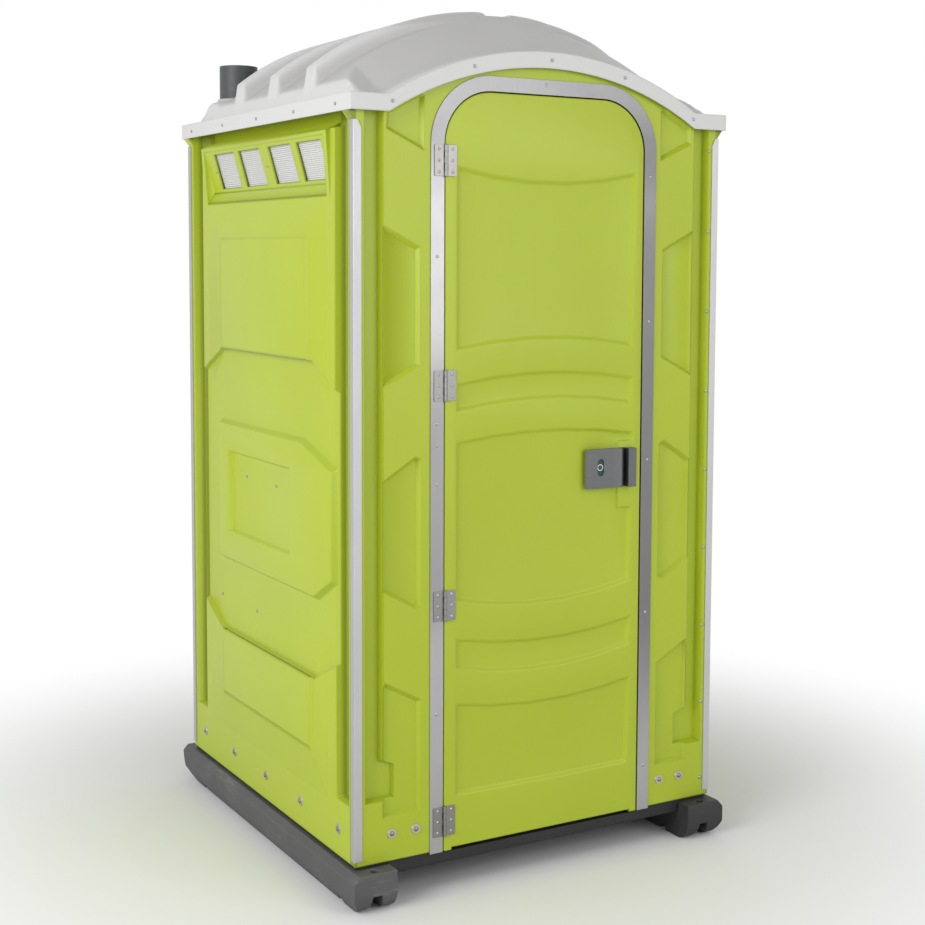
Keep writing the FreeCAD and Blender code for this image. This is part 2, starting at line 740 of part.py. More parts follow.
def skid(label, centre):
    """Skid with rising ends, a channel underneath and a tie-down hole at each end."""
    body = new_body(label)
    half = size("skid_length") / 2
    high = size("skid_height")
    front = size("skid_bow_front")
    rear = size("skid_bow_rear")
    slope = math.sqrt(0.5)
    profile = [(-half, high), (-half, front), (-half + front * (1 - slope), front * (1 - slope), True),
               (-half + front, 0), (half - rear, 0),
               (half - rear * (1 - slope), rear * (1 - slope), True), (half, rear), (half, high)]
    wide = size("skid_width")
    pad(body, label + "_block", "YZ_Plane", centre - wide / 2, [profile], "sizes.skid_width")
    shoulder = size("skid_shoulder")
    outer = centre + math.copysign(wide / 2, centre)
    inward = -math.copysign(1, centre)
    sill = [(outer - inward * 2, high + 1), (outer + inward * shoulder, high + 1),
            (outer, high - shoulder), (outer - inward * 2, high - shoulder)]
    pocket(body, label + "_shoulder", "XZ_Plane", half + 1, [sill], 2 * half + 2)
    low_edge = [(outer - inward, -1), (outer + inward * 22, -1), (outer, 40), (outer - inward, 40)]
    pocket(body, label + "_low_edge", "XZ_Plane", half + 1, [low_edge], 2 * half + 2)
    tunnel = size("tunnel_width") / 2
    roof = size("tunnel_height")
    middle = centre + inward * 6
    duct = [(middle - tunnel, -1), (middle + tunnel, -1), (middle + tunnel - 8, roof),
            (middle - tunnel + 8, roof)]
    pocket(body, label + "_tunnel", "XZ_Plane", half + 1, [duct], 2 * half + 2)
    ties = []
    for y in (-half + 22, half - 22):
        r = size("tie_hole") / 2
        ties.append([(middle - r, y), (middle, y - r, True), (middle + r, y), (middle, y + r, True)])
    pocket(body, label + "_ties", "XY_Plane", high + 1, ties, high + 2)
    notches = []
    for y in (-half + 118, half - 150):
        notches.append([(y - 13, -1), (y + 13, -1), (y + 10, 12), (y - 10, 12)])
    pocket(body, label + "_notches", "YZ_Plane", centre - wide, notches, 2 * wide, reverse=True)
    return body


def floor_pan():
    """Floor pan: deck on the skids, a beam between them, rim inside the walls."""
    body = new_body("floor_pan")
    reach_x = half_width - wall_sheet
    reach_y = half_depth - wall_sheet
    foot = size("pan_foot")
    top = size("pan_top")
    rim = size("pan_rim_width")
    rim_top = top + size("pan_rim_height")
    beam = skid_centre - size("skid_width") / 2 - 1
    pad(body, "pan_block", "XY_Plane", top,
        [[(-reach_x, -reach_y), (reach_x, -reach_y), (reach_x, reach_y), (-reach_x, reach_y)]],
        "sizes.pan_rim_height")
    pad(body, "pan_beam", "XY_Plane", foot,
        [[(-beam, -reach_y), (beam, -reach_y), (beam, reach_y), (-beam, reach_y)]], top - foot)
    pocket(body, "pan_tray", "XY_Plane", rim_top,
           [rounded_box_outline(-reach_x + rim, reach_x - rim, -reach_y + rim, reach_y - rim, 30)],
           rim_top - deck)
    gap = opening_half + size("frame_thick")
    pocket(body, "pan_doorway", "XZ_Plane", reach_y + 1,
           [[(-gap, top), (gap, top), (gap, rim_top + 1), (-gap, rim_top + 1)]], rim + 2)
    cells = []
    pitch = 2 * (reach_y - 20) / 4
    for k in range(4):
        y0 = -reach_y + 30 + k * pitch
        cells.append([(-beam + 24, y0), (beam - 24, y0), (beam - 24, y0 + pitch - 20),
                      (-beam + 24, y0 + pitch - 20)])
    pocket(body, "pan_cells", "XY_Plane", foot, cells, top - foot - 4, reverse=True)
    return body


skid("left_skid", -skid_centre)
skid("right_skid", skid_centre)
floor_pan()


# Roof

dome_crown = flange_top + size("dome_rise")
valley_crown = dome_crown - size("rib_height")
valley_half = half_width - 2
valley_foot = flange_top + size("flange_reach")
valley_rise = valley_crown - valley_foot
valley_radius = (valley_half ** 2 + valley_rise ** 2) / (2 * valley_rise)
rib_half = valley_half - 20
barrel_half = size("rib_spacing") * (size("rib_count") - 1) / 2 + 90


DOME_STATIONS = (1.0, 0.84, 0.67, 0.5, 0.34, 0.17, 0.0)


def arched_wire(y, half, base, foot, crown):
    """Closed upright outline at one depth: base line, two sides and an arch of runs over them."""
    rise = crown - foot
    radius = (half ** 2 + rise ** 2) / (2 * rise)
    corners = [Vector(-half, y, base), Vector(half, y, base)]
    for share in DOME_STATIONS + tuple(-share for share in reversed(DOME_STATIONS[:-1])):
        corners.append(Vector(half * share, y, crown - circle_drop(half * share, radius)))
    return Part.makePolygon(corners + corners[:1])


def rib(centre, offset):
    """Raised rib over the dome: a row of trapezoids from eave to eave."""
    stations = [rib_half, rib_half - 10] + [valley_half * share for share in DOME_STATIONS[1:-1]]
    stations = stations + [0] + [-x for x in reversed(stations)]
    end_half = size("rib_end_width") / 2
    full_half = size("rib_spacing") / 2 + 1
    flank = 0.6 * size("rib_height")
    wires = []
    for x in stations:
        share = min(1.0, (rib_half - abs(x)) / (rib_half - 60))
        top_half = end_half + (full_half - end_half) * share - offset
        crown = dome_crown - circle_drop(x, size("rib_radius")) - offset
        valley = valley_crown - circle_drop(x, valley_radius) - offset
        if abs(x) == rib_half:
            crown = valley + 8
        station = math.copysign(abs(x) - offset, x)
        base_half = top_half + flank
        corners = [Vector(station, centre - base_half, valley - 14),
                   Vector(station, centre + base_half, valley - 14),
                   Vector(station, centre + top_half, crown), Vector(station, centre - top_half, crown)]
        wires.append(Part.makePolygon(corners + corners[:1]))
    return skinned(wires)


def roof_body(offset, reach_x, reach_y):
    """Outer form of the roof, shrunk evenly by an offset, with its eave at a reach."""
    base = flange_top - 12
    eaves = gable_block(reach_x, offset, eave - 20, -reach_y, reach_y)
    barrel = Part.Face(arched_wire(-barrel_half, valley_half - offset, base, valley_foot - offset,
                                   valley_crown - offset)).extrude(Vector(0, 2 * barrel_half, 0))
    shapes = [eaves, barrel]
    for sign in (-1, 1):
        near = arched_wire(sign * barrel_half, valley_half - offset, base, valley_foot - offset,
                           valley_crown - offset)
        far = arched_wire(sign * (half_depth - 8 - offset), arch_half + 10 - offset, base,
                          flange_top - 8 - offset, arch_top - 8 - offset)
        shapes.append(skinned([near, far]))
    first = -size("rib_spacing") * (size("rib_count") - 1) / 2
    for k in range(int(size("rib_count"))):
        shapes.append(rib(first + k * size("rib_spacing"), offset))
    body = shapes[0]
    for shape in shapes[1:]:
        body = body.fuse(shape)
    groove = size("ridge_channel") / 2
    return body.cut(box(-groove - offset, groove + offset, -barrel_half - 100, barrel_half + 100,
                        dome_crown - size("ridge_depth") - offset, dome_crown + 20))


def roof():
    """Formed roof sheet with its flange, ribs and the collar of the vent pipe."""
    outer = roof_body(0, flange_half_width, flange_half_depth)
    under = gable_block(flange_half_width + 5, size("flange_drop"), eave - 40,
                        -flange_half_depth - 5, flange_half_depth + 5)
    outer = outer.cut(under)
    shell = outer.cut(roof_body(size("roof_sheet"), half_width, half_depth))
    bore = size("pipe_diameter") / 2 + 1
    collar_foot = pipe_spot + Vector(0, 0, flange_top - 2)
    shell = shell.fuse(few_sided(collar_foot, UP, 80, bore + 18, 16))
    return shell.cut(few_sided(collar_foot - UP * 98, UP, 400, around(bore, 16), 16))


feature_from("roof", roof())


# Door frame and strike

def door_frame():
    """Aluminium band round the opening, its return into the opening and the door stop."""
    thick = size("frame_thick")
    band_foot = wall_foot - 5
    band = opening_block(size("frame_band"), band_foot, door_face, door_face + thick)
    lining = opening_block(0, band_foot, door_face, door_face + size("frame_return"))
    clear = opening_block(-2, band_foot - 1, door_face - 1, door_face + size("frame_return") + 1)
    lip = opening_block(0, band_foot, door_back + 0.3, door_back + 3.3)
    lip_clear = opening_block(-14, band_foot - 1, door_back, door_back + 4)
    frame = band.fuse(lining).cut(clear)
    frame = frame.cut(box(-opening_half - 60, opening_half + 60, door_back + 3.3, door_back + 60,
                          0, 2200))
    return frame.fuse(lip.cut(lip_clear))


lock_z = 1052
strike_y = door_back + 3.3
feature_from("door_frame", door_frame())
feature_from("strike_plate", box(opening_half - 12, opening_half + 30, strike_y, strike_y + 2,
                                 lock_z - 42, lock_z + 42))


# Corner trims

def corner_trim():
    """Angle trim over the front left corner, with a chamfered top."""
    leg = size("trim_leg")
    thick = size("trim_thick")
    foot = wall_foot + size("trim_lift")
    top = eave - size("trim_drop")
    x = -half_width
    y = -half_depth
    profile = [(x - thick, y - thick + 1), (x - thick + 1, y - thick), (x + leg, y - thick),
               (x + leg, y), (x, y), (x, y + leg), (x - thick, y + leg)]
    corners = [Vector(u, v, foot) for u, v in profile]
    bar = Part.Face(Part.makePolygon(corners + corners[:1])).extrude(Vector(0, 0, top - foot))
    cut = [Vector(x + leg + 1, y - 10, top + 1), Vector(x + leg + 1, y - 10, top - 22),
           Vector(x + leg - 10, y - 10, top + 1)]
    wedge = Part.Face(Part.makePolygon(cut + cut[:1])).extrude(Vector(0, 12, 0))
    return bar.cut(wedge)


trim_shape = corner_trim()
rear_trim_shape = trim_shape.mirror(Vector(0, 0, 0), Vector(0, 1, 0))
feature_from("front_left_trim", trim_shape)
feature_from("front_right_trim", mirrored(trim_shape))
feature_from("rear_left_trim", rear_trim_shape)
feature_from("rear_right_trim", mirrored(rear_trim_shape))


# Door

split_y = door_face + size("door_skin")
lock_x = 160
lock_right = opening_half - 36
lock_left = lock_right - size("lock_grip") - size("lock_slot") - size("lock_plate")


def bowed(half_left, half_right, side, middle):
    """Points of a shallow bow between two sides, from left to right."""
    points = []
    for k in range(6):
        share = k / 5
        bow = 4 * share * (1 - share)
        points.append((half_left + (half_right - half_left) * share, side + (middle - side) * bow))
    return points


def door_panel(top, top_mid, foot, foot_mid):
    """Outline of a door panel between its two bowed edges."""
    half = door_half - 33
    return bowed(-half, half, foot, foot_mid) + list(reversed(bowed(-half, half + 8, top, top_mid)))


DOOR_PANELS = (door_panel(1821, 1790, 1368, 1392), door_panel(1286, 1310, 1215, 1240),
               door_panel(1140, 1161, 740, 709), door_panel(645, 618, 567, 537),
               door_panel(480, 454, 243, 240))
INNER_PANELS = (((-230, 1180), (230, 1180), (230, 1840), (-230, 1840)),
                ((-230, 250), (230, 250), (230, 930), (-230, 930)))


def door_outer_form(offset):
    """Outer skin of the door as a solid, shrunk evenly by an offset."""
    deep = size("door_step")
    slope = size("door_draft")
    face = size("frame_thick") - offset
    solid = opening_block(-size("door_gap") - offset, door_foot + offset, door_face + offset, split_y)
    for outline in DOOR_PANELS:
        solid = solid.cut(FRONT.frustum(anticlockwise(outline), face - deep, face + deep,
                                        slope - offset, -slope - offset))
    keep_flat = box(opening_half - 77 + offset, door_half - offset, door_face + offset, split_y,
                    lock_z - 113 + offset, lock_z + 65 - offset)
    return solid.fuse(keep_flat)


def door_blocks(y0, y1):
    """Solid places inside the door that carry the hinges and the lock."""
    blocks = [box(lock_left - 20, door_half - 5, y0, y1, lock_z - 70, lock_z + 66)]
    for k in range(int(size("hinge_count"))):
        middle = size("hinge_first") + k * size("hinge_pitch")
        blocks.append(box(-door_half + 2, -door_half + 40, y0, y1, middle - 46, middle + 46))
    return fuse_all(blocks)


def door_outer_skin():
    """Formed outer skin of the door with its two corner tabs."""
    wall = size("door_sheet")
    outer = door_outer_form(0)
    hollow = door_outer_form(wall).cut(door_blocks(door_face, split_y + 1))
    skin = outer.cut(hollow)
    for sign in (-1, 1):
        edges = sorted((sign * door_half, sign * (door_half - 22)))
        skin = skin.fuse(box(edges[0], edges[1], door_face, split_y, door_foot - 7, door_foot + 2))
    return skin


def door_inner_form(offset):
    """Inner skin of the door as a solid, shrunk evenly by an offset."""
    solid = opening_block(-size("door_gap") - offset, door_foot + offset, split_y, door_back - offset)
    deep = size("door_step") - 2
    slope = size("door_draft")
    for outline in INNER_PANELS:
        wires = [Part.makePolygon([Vector(u, door_back - offset + out, v) for u, v in
                                   inset(outline, spread) + inset(outline, spread)[:1]])
                 for out, spread in ((-deep, slope - offset), (deep, -slope - offset))]
        solid = solid.cut(skinned(wires))
    return solid


def door_inner_skin():
    """Formed inner skin of the door."""
    hollow = door_inner_form(size("door_sheet")).cut(door_blocks(split_y - 1, door_back))
    return door_inner_form(0).cut(hollow)


outer_skin = feature_from("door_outer_skin", door_outer_skin())
inner_skin = feature_from("door_inner_skin", door_inner_skin())


# Hinges

def leaf_plate(x0, x1, middle):
    """Flat part of a hinge leaf."""
    half = size("hinge_length") / 2
    return box(x0, x1, door_face - size("hinge_thick"), door_face, middle - half, middle + half)


def hinge_leaf(middle, segments, x0, x1):
    """Hinge leaf: a plate and its share of the five knuckles round the pin."""
    count = 5
    length = size("hinge_length") / count
    gap = size("knuckle_gap") / 2
    pieces = [leaf_plate(x0, x1, middle)]
    for k in segments:
        low = middle - size("hinge_length") / 2 + k * length + gap
        high = low + length - 2 * gap
        pieces.append(few_sided(Vector(hinge_x, hinge_y, low), UP, high - low, knuckle_radius, 6))
        tongue = sorted((hinge_x, x1 if x1 < hinge_x else x0))
        pieces.append(box(tongue[0], tongue[1], door_face - size("hinge_thick"), door_face - 0.3,
                          low, high))
    leaf = fuse_all(pieces)
    bore = (size("pin_diameter") + size("pin_clearance")) / 2
    foot = Vector(hinge_x, hinge_y, middle - size("hinge_length") / 2 - 5)
    return leaf.cut(few_sided(foot, UP, size("hinge_length") + 10, around(bore, 6), 6))


pins = []
frame_leaf_edge = hinge_x - knuckle_radius - 0.6
door_leaf_edge = hinge_x + knuckle_radius + 0.6
for hinge_index in range(int(size("hinge_count"))):
    centre = size("hinge_first") + hinge_index * size("hinge_pitch")
    name = str(hinge_index + 1)
    feature_from("hinge_frame_leaf_" + name,
                 hinge_leaf(centre, (0, 2, 4), frame_leaf_edge - size("hinge_leaf"), frame_leaf_edge))
    feature_from("hinge_door_leaf_" + name,
                 hinge_leaf(centre, (1, 3), door_leaf_edge, door_leaf_edge + size("hinge_leaf")))
    reach = size("hinge_length") / 2 + 0.2
    pin = few_sided(Vector(hinge_x, hinge_y, centre - reach), UP, 2 * reach,
                    size("pin_diameter") / 2, 6)
    for end in (centre - reach - 1.4, centre + reach):
        pin = pin.fuse(few_sided(Vector(hinge_x, hinge_y, end), UP, 1.4, knuckle_radius - 0.6, 6))
    pins.append(pin)
feature_from("hinge_pins", Part.makeCompound(pins))


# Lock

case_front = door_face - size("lock_rise")
case_low = lock_z - size("lock_height") / 2 - 3.5
case_high = case_low + size("lock_height")
spindle_radius = 4
bearing_radius = spindle_radius + 0.08
dial_radius = 24.5
crank_radius = size("bolt_travel") / math.sqrt(2)
inner_case_back = door_back + 22
bolt_front = door_back + 7.7
bolt_foot = lock_z + 5
bolt_top = bolt_foot + 24


def y_rod(x, z, y0, y1, radius, sides=8):
    """Few-sided bar along Y."""
    return few_sided(Vector(x, y0, z), Vector(0, 1, 0), y1 - y0, radius, sides)


def lock_case():
    """Lock case on the outside of the door: plate, finger slot and grip bar."""
    plate_right = lock_left + size("lock_plate")
    slot_right = plate_right + size("lock_slot")
    tail = Vector(0, 0, case_high - case_low)
    profile = [(lock_left, door_face), (lock_left, door_face - 5), (lock_left + 5, case_front),
               (plate_right - 26, case_front), (plate_right, case_front - 6), (plate_right, door_face - 4),
               (slot_right, door_face - 4), (slot_right, door_face - size("grip_rise")),
               (lock_right, door_face - size("grip_rise") + 3), (lock_right, door_face)]
    corners = [Vector(u, v, case_low) for u, v in profile]
    body = Part.Face(Part.makePolygon(corners + corners[:1])).extrude(tail)
    body = body.cut(y_rod(lock_x, lock_z, case_front + 3.6, door_face - 3,
                          around(dial_radius + 0.6, 16), 16))
    body = body.cut(y_rod(lock_x, lock_z, door_face - 4, door_face + 1, spindle_radius + 0.5))
    wide = size("window_width") / 2
    tall = size("window_height") / 2 - wide
    window = [box(lock_x - wide, lock_x + wide, case_front - 1, case_front + 5, lock_z - tall,
                  lock_z + tall)]
    for z in (lock_z - tall, lock_z + tall):
        window.append(y_rod(lock_x, z, case_front - 1, case_front + 5, around(wide, 12), 12))
    return body.cut(fuse_all(window))


def lock_inner_case():
    """Lock case on the inside of the door: crank chamber and bolt channel."""
    body = box(110, 270, door_back, inner_case_back, lock_z - 40, lock_z + 40)
    body = body.cut(box(lock_x - 24, lock_x + 24, door_back + 3, inner_case_back - 3, lock_z - 23,
                        bolt_top + 0.3))
    body = body.cut(box(lock_x - 24, 280, bolt_front - 0.3, bolt_front + 8.3, bolt_foot - 0.3,
                        bolt_top + 0.3))
    body = body.cut(y_rod(lock_x, lock_z, door_back - 1, door_back + 4, spindle_radius + 0.5))
    return body.cut(y_rod(lock_x, lock_z, inner_case_back - 4, inner_case_back + 1,
                          around(bearing_radius)))


def latch_bolt():
    """Latch bolt with the slot for the crank pin."""
    right = opening_half - 19
    left = lock_x - crank_radius / math.sqrt(2) - 8
    bolt = box(left, right, bolt_front, bolt_front + 8, bolt_foot, bolt_top)
    slot = lock_x - crank_radius / math.sqrt(2)
    return bolt.cut(box(slot - 3.6, slot + 3.6, bolt_front - 1, bolt_front + 9, bolt_foot - 1,
                        lock_z + crank_radius + 4.5))


def lock_crank():
    """Crank on the spindle whose pin drives the bolt."""
    pin_x = lock_x - crank_radius / math.sqrt(2)
    pin_z = lock_z + crank_radius / math.sqrt(2)
    y0 = door_back + 3.3
    y1 = bolt_front - 0.4
    arm = y_rod(lock_x, lock_z, y0, y1, 7).fuse(y_rod(pin_x, pin_z, y0, y1, 5))
    along = Part.makeBox(crank_radius, y1 - y0, 8, Vector(0, y0, -4))
    along.rotate(Vector(0, 0, 0), Vector(0, 1, 0), -135)
    along.translate(Vector(lock_x, 0, lock_z))
    arm = arm.fuse(along)
    arm = arm.fuse(y_rod(pin_x, pin_z, y1, bolt_front + 8, 3))
    return arm.cut(y_rod(lock_x, lock_z, y0 - 1, y1 + 1, spindle_radius + 0.02))


def lock_knob():
    """Turning knob inside the cabin with a finger wing."""
    y0 = inner_case_back + 0.4
    knob = y_rod(lock_x, lock_z, y0, y0 + 8, 19, 12)
    knob = knob.fuse(y_rod(lock_x, lock_z, y0 + 8, y0 + 20, 9))
    knob = knob.fuse(box(lock_x - 5, lock_x + 5, y0 + 8, y0 + 20, lock_z - 17, lock_z + 26))
    return knob.cut(y_rod(lock_x, lock_z, y0 - 1, y0 + 12, spindle_radius + 0.02))


dial_back = case_front + 6.8
feature_from("lock_case", lock_case())
feature_from("lock_inner_case", lock_inner_case())
feature_from("occupancy_dial", y_rod(lock_x, lock_z, case_front + 4.1, dial_back, dial_radius, 16))
feature_from("lock_spindle", y_rod(lock_x, lock_z, dial_back, inner_case_back + 12.4, spindle_radius))
feature_from("lock_crank", lock_crank())
feature_from("lock_knob", lock_knob())
feature_from("latch_bolt", latch_bolt())
outer_skin.Shape = outer_skin.Shape.cut(y_rod(lock_x, lock_z, door_face - 1, split_y + 1,
                                              around(bearing_radius)))
inner_skin.Shape = inner_skin.Shape.cut(y_rod(lock_x, lock_z, split_y - 1, door_back + 1,
                                              spindle_radius + 0.5))


# Waste tank, vent pipe and seat

seat_y = tank_back - 265
seat_axis_y = tank_back - 47
seat_axis_z = size("tank_top") + 14
seat_foot = size("tank_top") + 2.3
lug_radius = 10


def plate(points, z0, z1):
    """Level plate from an outline of straight runs."""
    return Part.Face(level_wire(points, z0)).extrude(Vector(0, 0, z1 - z0))


def oval(half_across, half_along, radius, runs=4):
    """Rounded outline round the middle of the seat, with a few straight runs at each corner."""
    points = []
    for across, along, first in ((-1, -1, 180), (1, -1, 270), (1, 1, 0), (-1, 1, 90)):
        for k in range(runs + 1):
            turn = math.radians(first + 90 * k / runs)
            points.append((across * (half_across - radius) + radius * math.cos(turn),
                           seat_y + along * (half_along - radius) + radius * math.sin(turn)))
    return points


def level_wire(points, z):
    """Closed outline at one height."""
    corners = [Vector(x, y, z) for x, y in points]
    return Part.makePolygon(corners + corners[:1])


def softened_plate(points, low, high, slope):
    """Level plate whose upper edge slopes all round."""
    return skinned([level_wire(points, low), level_wire(points, high - slope),
                    level_wire(inset(points, slope), high)])


def tank_form(inset_by):
    """Waste tank as a solid, shrunk evenly: deck, bowed front and a toe recess."""
    half = tank_half_width - inset_by
    top = size("tank_top") - inset_by
    front = tank_front + inset_by
    back = tank_back - inset_by
    profile = [(back, deck + inset_by), (front + 60, deck + inset_by), (front + 60, deck + 90 - inset_by),
               (front, deck + 130 - inset_by), (front, top - 20), (front + 20, top), (back, top)]
    corners = [Vector(-half, y, z) for y, z in profile]
    return Part.Face(Part.makePolygon(corners + corners[:1])).extrude(Vector(2 * half, 0, 0))


def waste_tank():
    """Waste tank with the seat opening, the vent socket and the drain inlet."""
    wall = size("tank_wall")
    top = size("tank_top")
    tank = tank_form(0).cut(tank_form(wall))
    tank = tank.cut(plate(oval(120, 150, 110), top - wall - 1, top + 1))
    socket = size("pipe_diameter") / 2 + 0.5
    ring = few_sided(pipe_spot + UP * top, UP, 30, around(socket + 5, 16), 16)
    ring = ring.cut(few_sided(pipe_spot + UP * top, UP, 32, around(socket, 16), 16))
    tank = tank.fuse(ring)
    tank = tank.cut(few_sided(pipe_spot + UP * (top - wall - 2), UP, wall + 4, socket - 8, 12))
    return tank.cut(y_rod(urinal_drain_x, urinal_drain_z, tank_front - 2, tank_front + wall + 2,
                          drain_radius + 0.3))


def x_rod(x0, x1, y, z, radius):
    """Eight-sided bar along X."""
    return few_sided(Vector(x0, y, z), Vector(1, 0, 0), x1 - x0, radius)


def seat_brackets():
    """Two hinge brackets on the deck of the tank."""
    pieces = []
    for x in (-88, 70):
        foot = box(x, x + 18, seat_axis_y - 14, seat_axis_y + 14, size("tank_top"), seat_axis_z)
        pieces.append(foot.fuse(x_rod(x, x + 18, seat_axis_y, seat_axis_z, 9)))
    bracket = Part.makeCompound(pieces)
    return bracket.cut(x_rod(-100, 100, seat_axis_y, seat_axis_z, 4.02))


def hinge_lugs(spots, plate_low, plate_high):
    """Lugs that join a seat part to the hinge pin."""
    lugs = []
    for x in spots:
        lug = x_rod(x, x + 17, seat_axis_y, seat_axis_z, lug_radius)
        profile = [(seat_axis_y - 34, plate_low), (seat_axis_y - 34, plate_high),
                   (seat_axis_y - 16, plate_high), (seat_axis_y + 6, seat_axis_z + 8),
                   (seat_axis_y, seat_axis_z - 8)]
        corners = [Vector(x, y, z) for y, z in profile]
        arm = Part.Face(Part.makePolygon(corners + corners[:1])).extrude(Vector(17, 0, 0))
        lugs.append(lug.fuse(arm))
    return lugs


def toilet_seat():
    """Seat ring with its hinge lugs and four bumpers."""
    high = seat_foot + size("seat_thick")
    ring = softened_plate(oval(size("seat_width") / 2, size("seat_length") / 2, 165), seat_foot, high, 6)
    ring = ring.cut(plate(oval(112, 135, 105), seat_foot - 1, high + 1))
    for x in (-140, 120):
        for y in (seat_y - 110, seat_y + 90):
            ring = ring.fuse(box(x, x + 20, y, y + 20, size("tank_top"), seat_foot + 1))
    for lug in hinge_lugs((-68, 51), seat_foot + 2, high - 2):
        ring = ring.fuse(lug)
    return ring.cut(x_rod(-120, 120, seat_axis_y, seat_axis_z, around(4.06)))


def toilet_lid():
    """Lid with its hinge lugs, lying closed on the seat."""
    low = seat_foot + size("seat_thick") + 0.4
    high = low + size("lid_thick")
    lid = softened_plate(oval(size("seat_width") / 2 - 1, size("seat_length") / 2, 165), low, high, 5)
    for lug in hinge_lugs((-106, 89), low + 1, high - 2):
        lid = lid.fuse(lug)
    return lid.cut(x_rod(-120, 120, seat_axis_y, seat_axis_z, around(4.06)))


urinal_drain_x = half_width - 72
urinal_drain_z = 500
drain_radius = 16
feature_from("waste_tank", waste_tank())
pipe_foot = pipe_spot + Vector(0, 0, size("tank_top"))
pipe = Part.makeCylinder(size("pipe_diameter") / 2, size("pipe_top") - size("tank_top"), pipe_foot)
feature_from("vent_pipe", pipe.cut(Part.makeCylinder(size("pipe_diameter") / 2 - size("pipe_wall"),
                                                     2000, pipe_foot)))
feature_from("seat_hinge_brackets", seat_brackets())
feature_from("seat_hinge_pin", x_rod(-110, 110, seat_axis_y, seat_axis_z, 4))
feature_from("toilet_seat", toilet_seat())
lid_part = feature_from("toilet_lid", toilet_lid())
lid_part.Placement = Placement(Vector(), Rotation(Vector(-1, 0, 0), size("lid_open")),
                               Vector(0, seat_axis_y, seat_axis_z))


# Urinal and paper holder

urinal_back = half_width - size("panel_step") - wall_sheet
urinal_y = -200


def urinal_form(inset_by, lift):
    """Urinal body as a loft from its sump to its rim."""
    wires = []
    for level, deep in ((640, 90), (760, 150), (1050, 180)):
        reach = deep - inset_by
        x0 = urinal_back - reach
        x1 = urinal_back - 4 if inset_by else urinal_back
        half_in = 0.72 * reach
        corners = [Vector(x1, urinal_y - half_in, level + lift),
                   Vector(x1, urinal_y + half_in, level + lift),
                   Vector(x0 + 0.4 * reach, urinal_y + half_in, level + lift),
                   Vector(x0, urinal_y + 0.5 * half_in, level + lift),
                   Vector(x0, urinal_y - 0.5 * half_in, level + lift),
                   Vector(x0 + 0.4 * reach, urinal_y - half_in, level + lift)]
        wires.append(Part.makePolygon(corners + corners[:1]))
    return skinned(wires)


def urinal():
    """Urinal bowl, open at the top with a lowered front lip."""
    bowl = urinal_form(0, 0).cut(urinal_form(4, 5))
    lip = [Vector(urinal_back - 190, urinal_y - 140, 1060), Vector(urinal_back - 40, urinal_y - 140, 1060),
           Vector(urinal_back - 110, urinal_y - 140, 880), Vector(urinal_back - 190, urinal_y - 140, 880)]
    bowl = bowl.cut(Part.Face(Part.makePolygon(lip + lip[:1])).extrude(Vector(0, 280, 0)))
    flange = box(urinal_back - 4, urinal_back, urinal_y - 150, urinal_y + 150, 650, 690)
    flange = flange.cut(urinal_form(4, 5))
    bowl = bowl.fuse(flange)
    outlet = Vector(urinal_drain_x, urinal_y, 600)
    bowl = bowl.fuse(few_sided(outlet + UP * 14, UP, 30, drain_radius - 3.3))
    return bowl.cut(few_sided(outlet, UP, 60, drain_radius - 7))


def drain_form(radius):
    """Eight-sided bar along the way of the drain: down, round a bend and back into the tank."""
    bend = 50
    places = [(urinal_y, 639)]
    for turn in (0, 30, 60, 90):
        angle = math.radians(turn)
        places.append((urinal_y + bend * (1 - math.cos(angle)),
                       urinal_drain_z + bend * (1 - math.sin(angle))))
    places.append((tank_front + 20, urinal_drain_z))
    wires = []
    for k, (y, z) in enumerate(places):
        ways = []
        for first, second in ((k - 1, k), (k, k + 1)):
            if first >= 0 and second < len(places):
                way = Vector(0, places[second][0] - places[first][0], places[second][1] - places[first][1])
                way.normalize()
                ways.append(way)
        along = ways[0] + ways[-1]
        along.normalize()
        across = Vector(1, 0, 0).cross(along) * (1 / along.dot(ways[0]))
        corners = []
        for side in range(8):
            angle = math.pi * (side + 0.5) / 4
            corners.append(Vector(urinal_drain_x, y, z) + across * (radius * math.sin(angle))
                           + Vector(radius * math.cos(angle), 0, 0))
        wires.append(Part.makePolygon(corners + corners[:1]))
    return skinned(wires)


holder_back = -half_width + 6 + wall_sheet
roll_x = 82 - half_width
roll_z = 970
holder_y = (-110, 170)
spindle_half = 21.7


def paper_holder():
    """Paper holder on the wall: back plate, two arms and a fixed spindle."""
    y0, y1 = holder_y
    holder = box(holder_back, holder_back + 3, y0, y1, roll_z - 40, roll_z + 40)
    for y in (y0, y1 - 6):
        arm = box(holder_back, roll_x, y, y + 6, roll_z - 24, roll_z + 24)
        holder = holder.fuse(arm.fuse(y_rod(roll_x, roll_z, y, y + 6, 26, 12)))
    return holder.fuse(y_rod(roll_x, roll_z, y0 + 3, y1 - 3, spindle_half, 12))


def paper_roll(start):
    """Paper roll with its core hole."""
    end = start + size("roll_width")
    roll = y_rod(roll_x, roll_z, start, end, size("roll_diameter") / 2, 20)
    return roll.cut(y_rod(roll_x, roll_z, start - 1, end + 1, around(spindle_half + 0.3, 20), 20))


feature_from("urinal", urinal())
feature_from("urinal_drain_tube", drain_form(drain_radius).cut(drain_form(drain_radius - 3)))
feature_from("paper_holder", paper_holder())
feature_from("paper_roll_1", paper_roll(-74))
feature_from("paper_roll_2", paper_roll(34))


# Fasteners

def low_head(spot, head, rise):
    """Six-sided head with a sloping rim, standing on a surface."""
    point, out = spot
    wires = [flat_ring(point, out, head / 2, 6), flat_ring(point + out * rise, out, head / 3, 6)]
    return skinned(wires)


